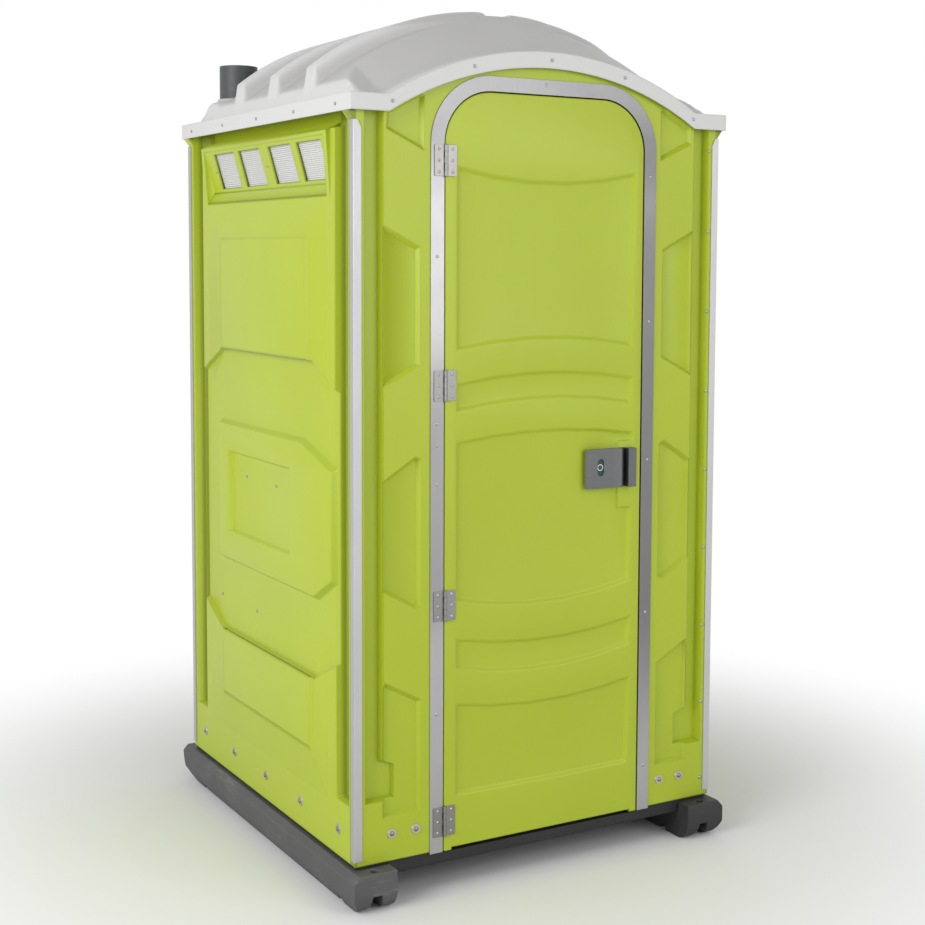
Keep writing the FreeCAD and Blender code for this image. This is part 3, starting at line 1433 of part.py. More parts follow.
def rivets(label, spots, head, rise):
    """Group of equal rivet heads that lie on the surface which they hold."""
    return feature_from(label, Part.makeCompound([low_head(spot, head, rise) for spot in spots]))


def part(label):
    """Finished sub-part with a label."""
    return next(item for item in PARTS if item.Label == label)


def arch_height(x):
    """Height of the eave arch at a distance from the middle."""
    if abs(x) > arch_half:
        return flange_top
    return arch_top - circle_drop(x, arch_radius)


walls = [part("left_wall"), part("right_wall"), part("front_wall"), part("rear_wall")]
small_head = (size("rivet_diameter"), size("rivet_rise"))
roof_spots = []
for x in (-448, -224, 0, 224, 448):
    for sign in (-1, 1):
        height = arch_height(x) - size("flange_drop") / 2
        roof_spots.append((Vector(x, sign * flange_half_depth, height), Vector(0, sign, 0)))
for y in (-498, -249, 0, 249, 498):
    for sign in (-1, 1):
        height = eave + size("flange_drop") / 2
        roof_spots.append((Vector(sign * flange_half_width, y, height - 2), Vector(sign, 0, 0)))
rivets("roof_rivets", roof_spots, *small_head)

corner_spots = []
for k in range(9):
    for sign in (-1, 1):
        corner_spots.append((Vector(-sign * (half_width - 27), sign * half_depth, 159 + 216 * k),
                             Vector(0, sign, 0)))
rivets("corner_rivets", corner_spots, *small_head)

band_x = opening_half + size("frame_band") / 2
band_spots = [(-8, size("opening_top") + size("frame_band") / 2 + 5)]
band_spots += [(band_x, z) for z in (227, 648, 1062, 1431, 1812)]
band_spots += [(-band_x, z) for z in (1189, 1135, 1039, 460, 1600)]
frame_spots = [(Vector(x, door_face, z), Vector(0, -1, 0)) for x, z in band_spots]
rivets("frame_rivets", frame_spots, size("rivet_diameter") - 2, size("rivet_rise") - 1)

leaf_face = door_face - size("hinge_thick")
leaf_head = (7, 1.6)
frame_leaf_spots = []
door_leaf_spots = []
for k in range(int(size("hinge_count"))):
    for step in (-28, 0, 28):
        z = size("hinge_first") + k * size("hinge_pitch") + step
        reach = size("hinge_leaf") / 2 + 1
        frame_leaf_spots.append((Vector(frame_leaf_edge - reach, leaf_face, z), Vector(0, -1, 0)))
        door_leaf_spots.append((Vector(door_leaf_edge + reach, leaf_face, z), Vector(0, -1, 0)))
rivets("hinge_frame_rivets", frame_leaf_spots, *leaf_head)
rivets("hinge_door_rivets", door_leaf_spots, *leaf_head)

washer = size("washer_thick")
bolt_places = [(Vector(x, sign * half_depth, base_bolt_up), Vector(0, sign, 0))
               for x in base_bolt_across for sign in (-1, 1)]
bolt_places += [(Vector(sign * half_width, y, base_bolt_up), Vector(sign, 0, 0))
                for y in base_bolt_along for sign in (-1, 1)]
washers = [few_sided(point, out, washer, size("washer_diameter") / 2) for point, out in bolt_places]
feature_from("base_washers", Part.makeCompound(washers))
rivets("base_bolts", [(point + out * washer, out) for point, out in bolt_places],
       size("bolt_head"), size("bolt_rise"))

recess = half_width - size("panel_step")
wall_spots = [(Vector(-half_width + 6, y, 987), Vector(-1, 0, 0)) for y in (-71, 139)]
wall_spots += [(Vector(-recess, y, 616), Vector(-1, 0, 0)) for y in (350, 87)]
wall_spots += [(Vector(recess, y, 670), Vector(1, 0, 0)) for y in (urinal_y - 138, urinal_y + 138)]
rivets("wall_rivets", wall_spots, *small_head)

spans = vent_window_spans()
vent_spots = []
for y in (spans[0][0] - 9, (spans[1][1] + spans[2][0]) / 2, spans[3][1] + 9):
    up = (window_foot + window_top) / 2
    for sign in (-1, 1):
        out = Vector(sign, 0, -screen_slope)
        out.normalize()
        point = Vector(sign * (half_width + vent_screen_out(up)), y, up)
        vent_spots.append((point, out))
rivets("vent_rivets", vent_spots, 7, 2)

screw_spots = [(Vector(x, inner_case_back, lock_z + dz), Vector(0, 1, 0))
               for x, dz in ((122, -28), (122, 28), (256, -28))]
rivets("lock_screws", screw_spots, 8, 2.4)


# Checks and export

doc.recompute()
for item in doc.Objects:
    if "Invalid" in item.State or "Error" in item.State:
        raise RuntimeError("object failed: " + item.Name)
os.makedirs("parts", exist_ok=True)
for item in PARTS:
    if item.Shape.isNull() or not item.Shape.isValid():
        raise RuntimeError("shape failed: " + item.Label)
    item.Shape.exportStep("parts/" + item.Label + ".step")
    print(item.Label, len(item.Shape.Solids), round(item.Shape.Volume))
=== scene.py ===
"""Portable toilet cabin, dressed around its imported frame.

Every piece is in metres in the frame's own axes: the door faces -Y and the ground is at Z = 0.
"""

import json
import logging
import math
from abc import ABC, abstractmethod
from dataclasses import dataclass
from enum import Enum
from functools import cached_property
from typing import Any, Callable, Sequence

import bmesh
import bpy
from bmesh.types import BMEdge, BMesh, BMVert
from bpy.types import ID, Material, Mesh, Node, NodeSocket, NodeTree, Object
from mathutils import Matrix, Vector

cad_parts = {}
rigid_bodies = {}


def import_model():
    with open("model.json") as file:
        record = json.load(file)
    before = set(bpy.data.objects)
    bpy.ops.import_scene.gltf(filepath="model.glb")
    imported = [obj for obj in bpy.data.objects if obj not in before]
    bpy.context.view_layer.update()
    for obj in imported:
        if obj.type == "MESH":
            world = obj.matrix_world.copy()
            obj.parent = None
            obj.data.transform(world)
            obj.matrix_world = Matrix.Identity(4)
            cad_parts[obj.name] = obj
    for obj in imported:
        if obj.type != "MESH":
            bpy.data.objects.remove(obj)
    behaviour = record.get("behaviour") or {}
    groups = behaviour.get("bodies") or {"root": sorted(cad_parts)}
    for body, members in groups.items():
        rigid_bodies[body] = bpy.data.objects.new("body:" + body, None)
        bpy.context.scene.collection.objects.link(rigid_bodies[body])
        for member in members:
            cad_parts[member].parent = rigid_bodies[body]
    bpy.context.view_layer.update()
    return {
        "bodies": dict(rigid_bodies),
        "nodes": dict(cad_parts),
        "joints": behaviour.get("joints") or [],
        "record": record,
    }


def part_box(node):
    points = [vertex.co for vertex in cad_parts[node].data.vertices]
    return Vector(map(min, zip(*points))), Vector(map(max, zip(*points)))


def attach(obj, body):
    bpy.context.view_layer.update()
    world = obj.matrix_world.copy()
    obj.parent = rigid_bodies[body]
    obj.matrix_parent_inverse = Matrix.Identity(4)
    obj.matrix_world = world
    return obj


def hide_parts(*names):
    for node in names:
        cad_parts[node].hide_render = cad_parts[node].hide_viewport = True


Pair = tuple[float, float]
Triple = tuple[float, float, float]
Colour = Triple
log = logging.getLogger("cabin")


class Body(Enum):
    """The bodies of the frame that pieces ride on."""

    CABIN = "cabin"
    DOOR = "door"
    LOCK = "lock"
    BOLT = "bolt"
    SEAT = "seat"
    LID = "lid"
    ROLL_1 = "roll_1"
    ROLL_2 = "roll_2"


# --- node trees ---


class Tree:
    """A node tree that is filled by plain calls."""

    def __init__(self, tree: NodeTree) -> None:
        """Wraps a shader or geometry tree."""
        self.tree = tree

    def add(self, kind: str, inputs: dict[Any, Any] | None = None, **settings: Any) -> Node:
        """Adds one node.

        Args:
            kind: Blender's name of the node type.
            inputs: what each socket is fed, by the socket's name or index.
            settings: the node's properties, which are set first.

        Returns:
            The new node.
        """
        node = self.tree.nodes.new(kind)
        for name, value in settings.items():
            setattr(node, name, value)
        for key, value in (inputs or {}).items():
            self.feed(node.inputs[key], value)
        return node

    def feed(self, socket: NodeSocket, value: Any) -> None:
        """Sets or links one input socket.

        Args:
            socket: the socket.
            value: a value, a socket, a Value, or a node, which stands for its first output.
        """
        if isinstance(value, Node):
            value = value.outputs[0]
        elif isinstance(value, Value):
            value = value.socket
        if isinstance(value, NodeSocket):
            self.tree.links.new(value, socket)
        else:
            socket.default_value = value

    def number(self, node: Node, output: int | str = 0) -> "Value":
        """Wraps an output of a node so that Python's operators work on it."""
        return Value(self, node.outputs[output])


def math_method(operation: str, swapped: bool = False) -> Callable[..., "Value"]:
    """Makes a method of Value that adds one Math node.

    Args:
        operation: Blender's name of the operation.
        swapped: whether the value itself is the last term and not the first.

    Returns:
        The method, which takes the node's other terms.
    """
    def method(self: "Value", *others: Any) -> "Value":
        """Adds the node and returns its result."""
        return self.math(operation, *((*others, self) if swapped else (self, *others)))
    return method


class Value:
    """One number in a node tree. Arithmetic on it adds Math nodes.

    `most` and `least` change softly from one number to the other; their last term says how softly.
    """

    def __init__(self, tree: Tree, socket: NodeSocket) -> None:
        """Wraps an output socket of a tree."""
        self.tree = tree
        self.socket = socket

    def math(self, operation: str, *terms: Any, clamp: bool = False) -> "Value":
        """Adds a Math node over the given terms and returns its result."""
        return self.tree.number(self.tree.add(
            "ShaderNodeMath", dict(enumerate(terms)), operation=operation, use_clamp=clamp))

    __add__ = __radd__ = math_method("ADD")
    __mul__ = __rmul__ = math_method("MULTIPLY")
    __sub__ = math_method("SUBTRACT")
    __rsub__ = math_method("SUBTRACT", swapped=True)
    __truediv__ = math_method("DIVIDE")
    __pow__ = math_method("POWER")
    __abs__ = math_method("ABSOLUTE")
    sign = math_method("SIGN")
    whole = math_method("ROUND")
    over = math_method("GREATER_THAN")
    at_least = math_method("MAXIMUM")
    at_most = math_method("MINIMUM")
    most = math_method("SMOOTH_MAX")
    least = math_method("SMOOTH_MIN")

    def ramp(self, low: float, high: float) -> "Value":
        """0 below low, 1 above high and smooth between them."""
        return self.tree.number(self.tree.add(
            "ShaderNodeMapRange", {0: self, 1: low, 2: high}, interpolation_type="SMOOTHSTEP"))

    def limited(self) -> "Value":
        """The number held between 0 and 1."""
        return self.math("ADD", self, 0.0, clamp=True)


class Surface(Tree):
    """A material's node tree with one Principled shader."""

    def __init__(self, name: str) -> None:
        """Makes an empty material.

        Args:
            name: the material's name.
        """
        self.material = bpy.data.materials.new(name)
        self.material.use_nodes = True
        super().__init__(self.material.node_tree)
        self.shader = self.tree.nodes["Principled BSDF"]
        self.place = self.add("ShaderNodeTexCoord").outputs["Object"]

    def set(self, **inputs: Any) -> None:
        """Sets the shader's sockets; an underscore in a name stands for a space."""
        for name, value in inputs.items():
            self.feed(self.shader.inputs[name.replace("_", " ")], value)

    def axes(self) -> tuple[Value, ...]:
        """The place on the surface as three numbers, in metres."""
        split = self.add("ShaderNodeSeparateXYZ", {0: self.place})
        return tuple(self.number(split, axis) for axis in range(3))

    def noise(self, scale: float, detail: float, stretch: Triple | None = None) -> Value:
        """Cloudy noise from 0 to 1, around 0.5.

        Args:
            scale: how many clouds to a metre.
            detail: how many finer layers are added.
            stretch: scale of the three axes.

        Returns:
            The noise.
        """
        place = self.place
        if stretch:
            place = self.add("ShaderNodeMapping", {"Vector": place, "Scale": stretch})
        return self.number(self.add(
            "ShaderNodeTexNoise", {"Vector": place, "Scale": scale, "Detail": detail}))

    def blend(self, mask: Any, first: Any, second: Any) -> NodeSocket:
        """Mixes two colours.

        Args:
            mask: 0 for the first colour, 1 for the second.
            first: a colour or a colour socket.
            second: a colour or a colour socket.

        Returns:
            The mixed colour's socket.
        """
        node = self.add("ShaderNodeMix", data_type="RGBA")
        self.feed(node.inputs["Factor"], mask)
        for socket, colour in ((node.inputs[6], first), (node.inputs[7], second)):
            self.feed(socket, (*colour, 1.0) if isinstance(colour, tuple) else colour)
        return node.outputs[2]

    def rounding(self, radius: float) -> Node:
        """The normal as it is on edges rounded to a radius, in metres."""
        return self.add("ShaderNodeBevel", {"Radius": radius}, samples=6)

    def edge(self, rounded: Node, gain: float) -> Value:
        """Where a rounded normal leaves the true one: 0 on flat sheet, up to 1 on an edge.

        Args:
            rounded: the rounded normal.
            gain: how fast the mask rises with the turn.

        Returns:
            The mask.
        """
        true = self.add("ShaderNodeNewGeometry").outputs["Normal"]
        dot = self.add("ShaderNodeVectorMath", {0: rounded, 1: true}, operation="DOT_PRODUCT")
        return ((1.0 - self.number(dot, "Value")) * gain).limited()

    def bump(self, height: Value, depth: float, normal: Node | None = None) -> Node:
        """Lays a relief on a normal.

        Args:
            height: the relief.
            depth: the depth that a height of 1 stands for, in metres.
            normal: the normal, or none for the true one.

        Returns:
            The new normal.
        """
        under = {"Normal": normal} if normal else {}
        return self.add("ShaderNodeBump", {"Strength": 1.0, "Distance": depth, "Height": height, **under})


class Group(Tree):
    """A Geometry Nodes group with named inputs, which hands out real geometry in one finish."""

    def __init__(self, name: str, **inputs: str) -> None:
        """Makes a group that only has its inputs.

        Args:
            name: the group's name.
            inputs: the kind of each input besides Geometry and Finish.
        """
        super().__init__(bpy.data.node_groups.new(name, "GeometryNodeTree"))
        face = self.tree.interface
        for label, kind in {"Geometry": "Geometry", **inputs, "Finish": "Material"}.items():
            face.new_socket(label, in_out="INPUT", socket_type="NodeSocket" + kind)
        face.new_socket("Geometry", in_out="OUTPUT", socket_type="NodeSocketGeometry")
        self.given = self.add("NodeGroupInput").outputs

    def end(self, geometry: Node) -> None:
        """Makes the geometry real, gives it the finish and hands it out.

        Args:
            geometry: the node that it comes from.
        """
        real = self.add("GeometryNodeRealizeInstances", {0: geometry})
        painted = self.add("GeometryNodeSetMaterial", {"Geometry": real, "Material": self.given["Finish"]})
        self.add("NodeGroupOutput", {0: painted})


# --- finishes ---


@dataclass(frozen=True)
class Recipe(ABC):
    """How a material is made."""

    name: str

    def make(self) -> Material:
        """Builds the material.

        Returns:
            The material.
        """
        surface = Surface(self.name)
        self.fill(surface)
        return surface.material

    @abstractmethod
    def fill(self, surface: Surface) -> None:
        """Sets up the material's nodes."""


@dataclass(frozen=True)
class MouldedSheet(Recipe):
    """Coloured sheet formed over a mould, with soft edges, slight mottle and pores.

    A side wall has more. Its flat face lies `face` metres out, with painted shade in the channels behind it
    at the corners and on the front post. Each of its panes is half a width, a foot and a head, and stands
    over the sheet by steps of a height and the width of the border that falls away round it.
    """

    colour: Colour
    # Colour painted along edges and creases: painted shade where it is darker than the sheet, painted
    # highlight where it is lighter.
    painted_edge_colour: Colour
    mottle_colour: Colour
    roughness: float = 0.42
    edge_radius: float = 0.005
    edge_strength: float = 0.5
    mottle: float = 0.35
    pore: float = 0.00012
    face: float = 0.0
    # Painted shade in the corner channels and on the front post of a side wall.
    channel_shade_colour: Colour = (0.19, 0.235, 0.012)
    channel_from: float = 0.43
    channel_fade: Pair = (0.024, 0.010)
    channel_shade_share: float = 0.78
    post_from: float = 0.534
    post_fade: float = 0.007
    post_depth: float = 0.004
    post_shade_share: float = 0.85
    panes: tuple[Triple, ...] = ()
    steps: tuple[Pair, ...] = ((0.003, 0.008), (0.008, 0.110))
    step_in: float = 0.004

    def fill(self, surface: Surface) -> None:
        """Sets up the sheet.

        Args:
            surface: the material's tree.
        """
        rounded = surface.rounding(self.edge_radius)
        clouds = surface.noise(scale=2.3, detail=4.0).ramp(0.35, 0.7)
        colour = surface.blend(clouds * self.mottle, self.colour, self.mottle_colour)
        # Edges and creases: painted shade on the lime sheet, painted highlight on the louvre and white
        # plastic.
        colour = surface.blend(surface.edge(rounded, gain=4.0) * self.edge_strength, colour,
                               self.painted_edge_colour)
        # Painted shade in the corner channels and on the front post.
        if self.face:
            colour = surface.blend(self.channels(surface), colour, self.channel_shade_colour)
        if self.panes:
            rounded = surface.bump(self.pressed(surface), 1.0, rounded)
        pores = surface.noise(scale=900.0, detail=2.0)
        wave = surface.noise(scale=9.0, detail=1.0)
        surface.set(Base_Color=colour, Roughness=self.roughness - 0.06 + pores * 0.12, IOR=1.5,
                    Normal=surface.bump(pores * 0.5 + wave * 6.0, self.pore, rounded))

    def channels(self, surface: Surface) -> Value:
        """Finds the painted shade in the corner channels and on the front post.

        Args:
            surface: the material's tree.

        Returns:
            How much of the painted shade shows.
        """
        side, along, _ = surface.axes()
        drawn = 1.0 - abs(side).ramp(*(self.face - behind for behind in self.channel_fade))
        channel = drawn * abs(along).over(self.channel_from)
        front = (along * -1.0).ramp(self.post_from, self.post_from + self.post_fade)
        post = front * abs(side).over(self.face - self.post_depth)
        return (channel * self.channel_shade_share + post * self.post_shade_share).limited()

    def pressed(self, surface: Surface) -> Value:
        """Raises the panes.

        Args:
            surface: the material's tree.

        Returns:
            How far they stand over the sheet, in metres.
        """
        _, along, height = surface.axes()
        total = 0.0
        for half, foot, head in self.panes:
            reach = (abs(along) - half).at_least(abs(height - (foot + head) / 2) - (head - foot) / 2)
            for rise, border in self.steps:
                total = (1.0 - ((reach + self.step_in) / border).limited()) * rise + total
        return total


@dataclass(frozen=True)
class ScuffedPlastic(Recipe):
    """Dark plastic with pale scuffs on its edges and in patches.

    Inside `slot` it is painted nearly black as painted shade in the hollow: the slot's two sides, and the
    depth it begins behind.
    """

    colour: Colour
    scuff: Colour
    roughness: float = 0.55
    edge_radius: float = 0.006
    scuffs: float = 0.5
    slot: Triple | None = None
    slot_shade_colour: Colour = (0.006, 0.006, 0.007)
    relief: float = 0.00025

    def fill(self, surface: Surface) -> None:
        """Sets up the plastic.

        Args:
            surface: the material's tree.
        """
        rounded = surface.rounding(self.edge_radius)
        scratch = surface.noise(scale=60.0, detail=5.0, stretch=(0.25, 0.25, 2.5)).ramp(0.52, 0.72)
        patch = surface.noise(scale=6.0, detail=4.0).ramp(0.4, 0.75)
        wear = (surface.edge(rounded, gain=5.0) * 0.6 + scratch * patch * 0.8).limited()
        colour = surface.blend(wear * self.scuffs, self.colour, self.scuff)
        colour = surface.blend(patch * 0.25 * self.scuffs, colour, self.scuff)
        # Painted shade: the lock's slot is painted nearly black.
        if self.slot:
            across, out, _ = surface.axes()
            left, right, front = self.slot
            inside = across.over(left) * (1.0 - across.over(right)) * out.over(front)
            colour = surface.blend(inside * 0.85, colour, self.slot_shade_colour)
        pores = surface.noise(scale=700.0, detail=3.0)
        surface.set(Base_Color=colour, Roughness=self.roughness + pores * 0.15, IOR=1.48,
                    Normal=surface.bump(pores + scratch * 2.0, self.relief, rounded))


@dataclass(frozen=True)
class DrawnMetal(Recipe):
    """Metal drawn or rolled along one axis, with fine lines that way."""

    colour: Colour
    dark: Colour
    roughness: float
    cloud: float = 0.35
    lines: Triple = (1.0, 1.0, 0.02)
    edge_radius: float = 0.0008
    relief: float = 0.00004

    def fill(self, surface: Surface) -> None:
        """Sets up the metal.

        Args:
            surface: the material's tree.
        """
        grain = surface.noise(scale=900.0, detail=2.0, stretch=self.lines)
        clouds = surface.noise(scale=5.0, detail=4.0).ramp(0.4, 0.72)
        colour = surface.blend(clouds * self.cloud + grain * 0.12, self.colour, self.dark)
        surface.set(Base_Color=self.shaded(surface, colour), Metallic=1.0,
                    Roughness=self.roughness - 0.05 + grain * 0.14,
                    Normal=surface.bump(grain, self.relief, surface.rounding(self.edge_radius)))

    def shaded(self, surface: Surface, colour: NodeSocket) -> NodeSocket:
        """The colour with its painted shade, of which plain metal has none."""
        return colour


@dataclass(frozen=True)
class FrameMetal(DrawnMetal):
    """Metal of the door frame, with painted shade on the latch side, under the arch and half way up the
    hinge side.
    """

    shade: float = 0.88
    painted_shade_colour: Colour = (0.15, 0.15, 0.152)
    hinge_side: float = -0.15
    latch_side: float = 0.33
    latch_middle: float = 1.15
    hinge_middle: float = 1.02
    arch: Pair = (1.72, 1.90)

    def shaded(self, surface: Surface, colour: NodeSocket) -> NodeSocket:
        """Lays the painted shade of the frame over a colour.

        Args:
            surface: the material's tree.
            colour: the colour.

        Returns:
            The new colour.
        """
        across, _, height = surface.axes()
        latch = (across.ramp(self.hinge_side, self.latch_side)
                 * (1.0 - abs(height - self.latch_middle).ramp(0.45, 1.0)))
        hinge = (1.0 - across.over(self.hinge_side)) * (
            1.0 - abs(height - self.hinge_middle).ramp(0.22, 0.42))
        mask = latch + hinge * 0.5 + height.ramp(*self.arch) * 0.6
        return surface.blend(mask.limited() * self.shade, colour, self.painted_shade_colour)


@dataclass(frozen=True)
class RoofSheet(Recipe):
    """Grey-white sheet, darker where the attribute "rib" isn't 1: painted shade on the rib flanks."""

    colour: Colour
    # Colour off the rib tops, eave and apron; on the rib flanks it is painted shade.
    off_rib_colour: Colour
    # Lighter edges: a painted highlight.
    painted_edge_colour: Colour = (0.86, 0.86, 0.86)
    roughness: float = 0.4
    edge_radius: float = 0.006
    relief: float = 0.00015

    def fill(self, surface: Surface) -> None:
        """Sets up the sheet.

        Args:
            surface: the material's tree.
        """
        rounded = surface.rounding(self.edge_radius)
        rib = surface.number(surface.add("ShaderNodeAttribute", attribute_name="rib"), "Fac")
        clouds = surface.noise(scale=3.0, detail=4.0).ramp(0.3, 0.75)
        colour = surface.blend((1.0 - rib) * (0.8 + clouds * 0.2), self.colour, self.off_rib_colour)
        colour = surface.blend(surface.edge(rounded, gain=4.0) * 0.5, colour, self.painted_edge_colour)
        pores = surface.noise(scale=800.0, detail=2.0)
        wave = surface.noise(scale=8.0, detail=1.0)
        surface.set(Base_Color=colour, Roughness=self.roughness + pores * 0.08, IOR=1.5,
                    Normal=surface.bump(pores * 0.5 + wave * 5.0, self.relief, rounded))


@dataclass(frozen=True)
class DialFace(Recipe):
    """Face of the occupancy dial: green upright band, red level band, white ring."""

    centre: Pair
    green: Colour = (0.0, 0.06, 0.036)
    red: Colour = (0.36, 0.012, 0.012)
    white: Colour = (0.85, 0.87, 0.86)
    ring: float = 0.0076
    line: float = 0.0010
    band: float = 0.0118

    def fill(self, surface: Surface) -> None:
        """Sets up the face.

        Args:
            surface: the material's tree.
        """
        x, _, z = surface.axes()
        across, up = x - self.centre[0], z - self.centre[1]
        radius = (across * across + up * up) ** 0.5
        ring = 1.0 - abs(radius - self.ring).ramp(self.line * 0.8, self.line * 1.2)
        colour = surface.blend(abs(across).over(self.band), self.green, self.red)
        grain = surface.noise(scale=1200.0, detail=2.0)
        surface.set(Base_Color=surface.blend(ring, colour, self.white), IOR=1.5,
                    Roughness=0.5 + grain * 0.08, Normal=surface.bump(grain, 0.00003))


@dataclass(frozen=True)
class SoftPaper(Recipe):
    """Fibrous tissue."""

    colour: Colour = (0.82, 0.81, 0.78)
    fibre_colour: Colour = (0.7, 0.69, 0.66)

    def fill(self, surface: Surface) -> None:
        """Sets up the tissue.

        Args:
            surface: the material's tree.
        """
        fibre = surface.noise(scale=600.0, detail=5.0)
        surface.set(Base_Color=surface.blend(fibre, self.colour, self.fibre_colour), Roughness=0.95,
                    Normal=surface.bump(fibre, 0.0004))


# Lime sheet colour, its edge colour (painted shade along edges and creases) and its mottle colour.
LIME_COLOURS = ((0.400, 0.492, 0.018), (0.24, 0.305, 0.008), (0.352, 0.438, 0.014))


class Finish(Enum):
    """The finishes of the cabin. The value is the recipe of the material."""

    LIME = MouldedSheet("lime_sheet", *LIME_COLOURS)
    # The side wall's face sets painted shade in its corner channels and on its front post.
    SIDE = MouldedSheet("lime_side_sheet", *LIME_COLOURS, face=0.542,
                        panes=((0.302, 1.340, 1.647), (0.302, 0.341, 0.521)))
    ROOF = RoofSheet("roof_sheet", (0.62, 0.617, 0.612), (0.45, 0.446, 0.44))
    # Its lighter edge colour is a painted highlight.
    LOUVRE = MouldedSheet("louvre_plastic", (0.84, 0.84, 0.83), (0.88, 0.88, 0.88), (0.78, 0.78, 0.77),
                          edge_radius=0.001)
    SKID = ScuffedPlastic("skid_plastic", (0.075, 0.076, 0.078), (0.26, 0.26, 0.255))
    # The skid plastic again, darker: painted shade for the right skid.
    SKID_PAINTED_SHADE = ScuffedPlastic("skid_plastic_dark", (0.024, 0.024, 0.025), (0.09, 0.09, 0.088))
    PAN = ScuffedPlastic("pan_plastic", (0.011, 0.011, 0.011), (0.05, 0.05, 0.048), scuffs=0.2)
    PIPE = ScuffedPlastic("pipe_plastic", (0.055, 0.057, 0.060), (0.15, 0.15, 0.15), 0.4, 0.002, 0.2)
    # Its lighter edge colour is a painted highlight.
    WHITE = MouldedSheet("white_plastic", (0.72, 0.72, 0.70), (0.8, 0.8, 0.79), (0.66, 0.66, 0.63),
                         roughness=0.25, edge_radius=0.004)
    # The door frame's metal carries painted shade.
    ALUMINIUM = FrameMetal("aluminium", (0.42, 0.416, 0.42), (0.26, 0.265, 0.295), 0.42)
    TRIM = DrawnMetal("trim_aluminium", (0.49, 0.49, 0.495), (0.40, 0.405, 0.42), 0.55, cloud=0.2)
    STEEL = DrawnMetal("steel", (0.27, 0.262, 0.254), (0.155, 0.147, 0.14), 0.36)
    RIVET = DrawnMetal("rivet_aluminium", (0.36, 0.36, 0.36), (0.24, 0.24, 0.24), 0.3)
    # Its slot gets painted shade.
    LOCK = ScuffedPlastic("lock_plastic", (0.125, 0.127, 0.133), (0.3, 0.3, 0.3), 0.34, 0.0015, 0.2,
                          slot=(0.2225, 0.2415, -0.5935))
    DIAL = DialFace("dial_face", (0.160, 1.052))
    PAPER = SoftPaper("tissue")
    WASHER = DrawnMetal("washer_steel", (0.50, 0.50, 0.49), (0.30, 0.29, 0.27), 0.42)
    BOLT = DrawnMetal("bolt_steel", (0.30, 0.24, 0.17), (0.16, 0.12, 0.08), 0.4)

    @cached_property
    def material(self) -> Material:
        """The material, made when it is first asked for."""
        return self.value.make()


# --- piece makers ---


def put(name: str, data: ID) -> Object:
    """Puts an object in the scene.

    Args:
        name: its name.
        data: its mesh, lamp or camera.

    Returns:
        The object.
    """
    thing = bpy.data.objects.new(name, data)
    bpy.context.scene.collection.objects.link(thing)
    return thing


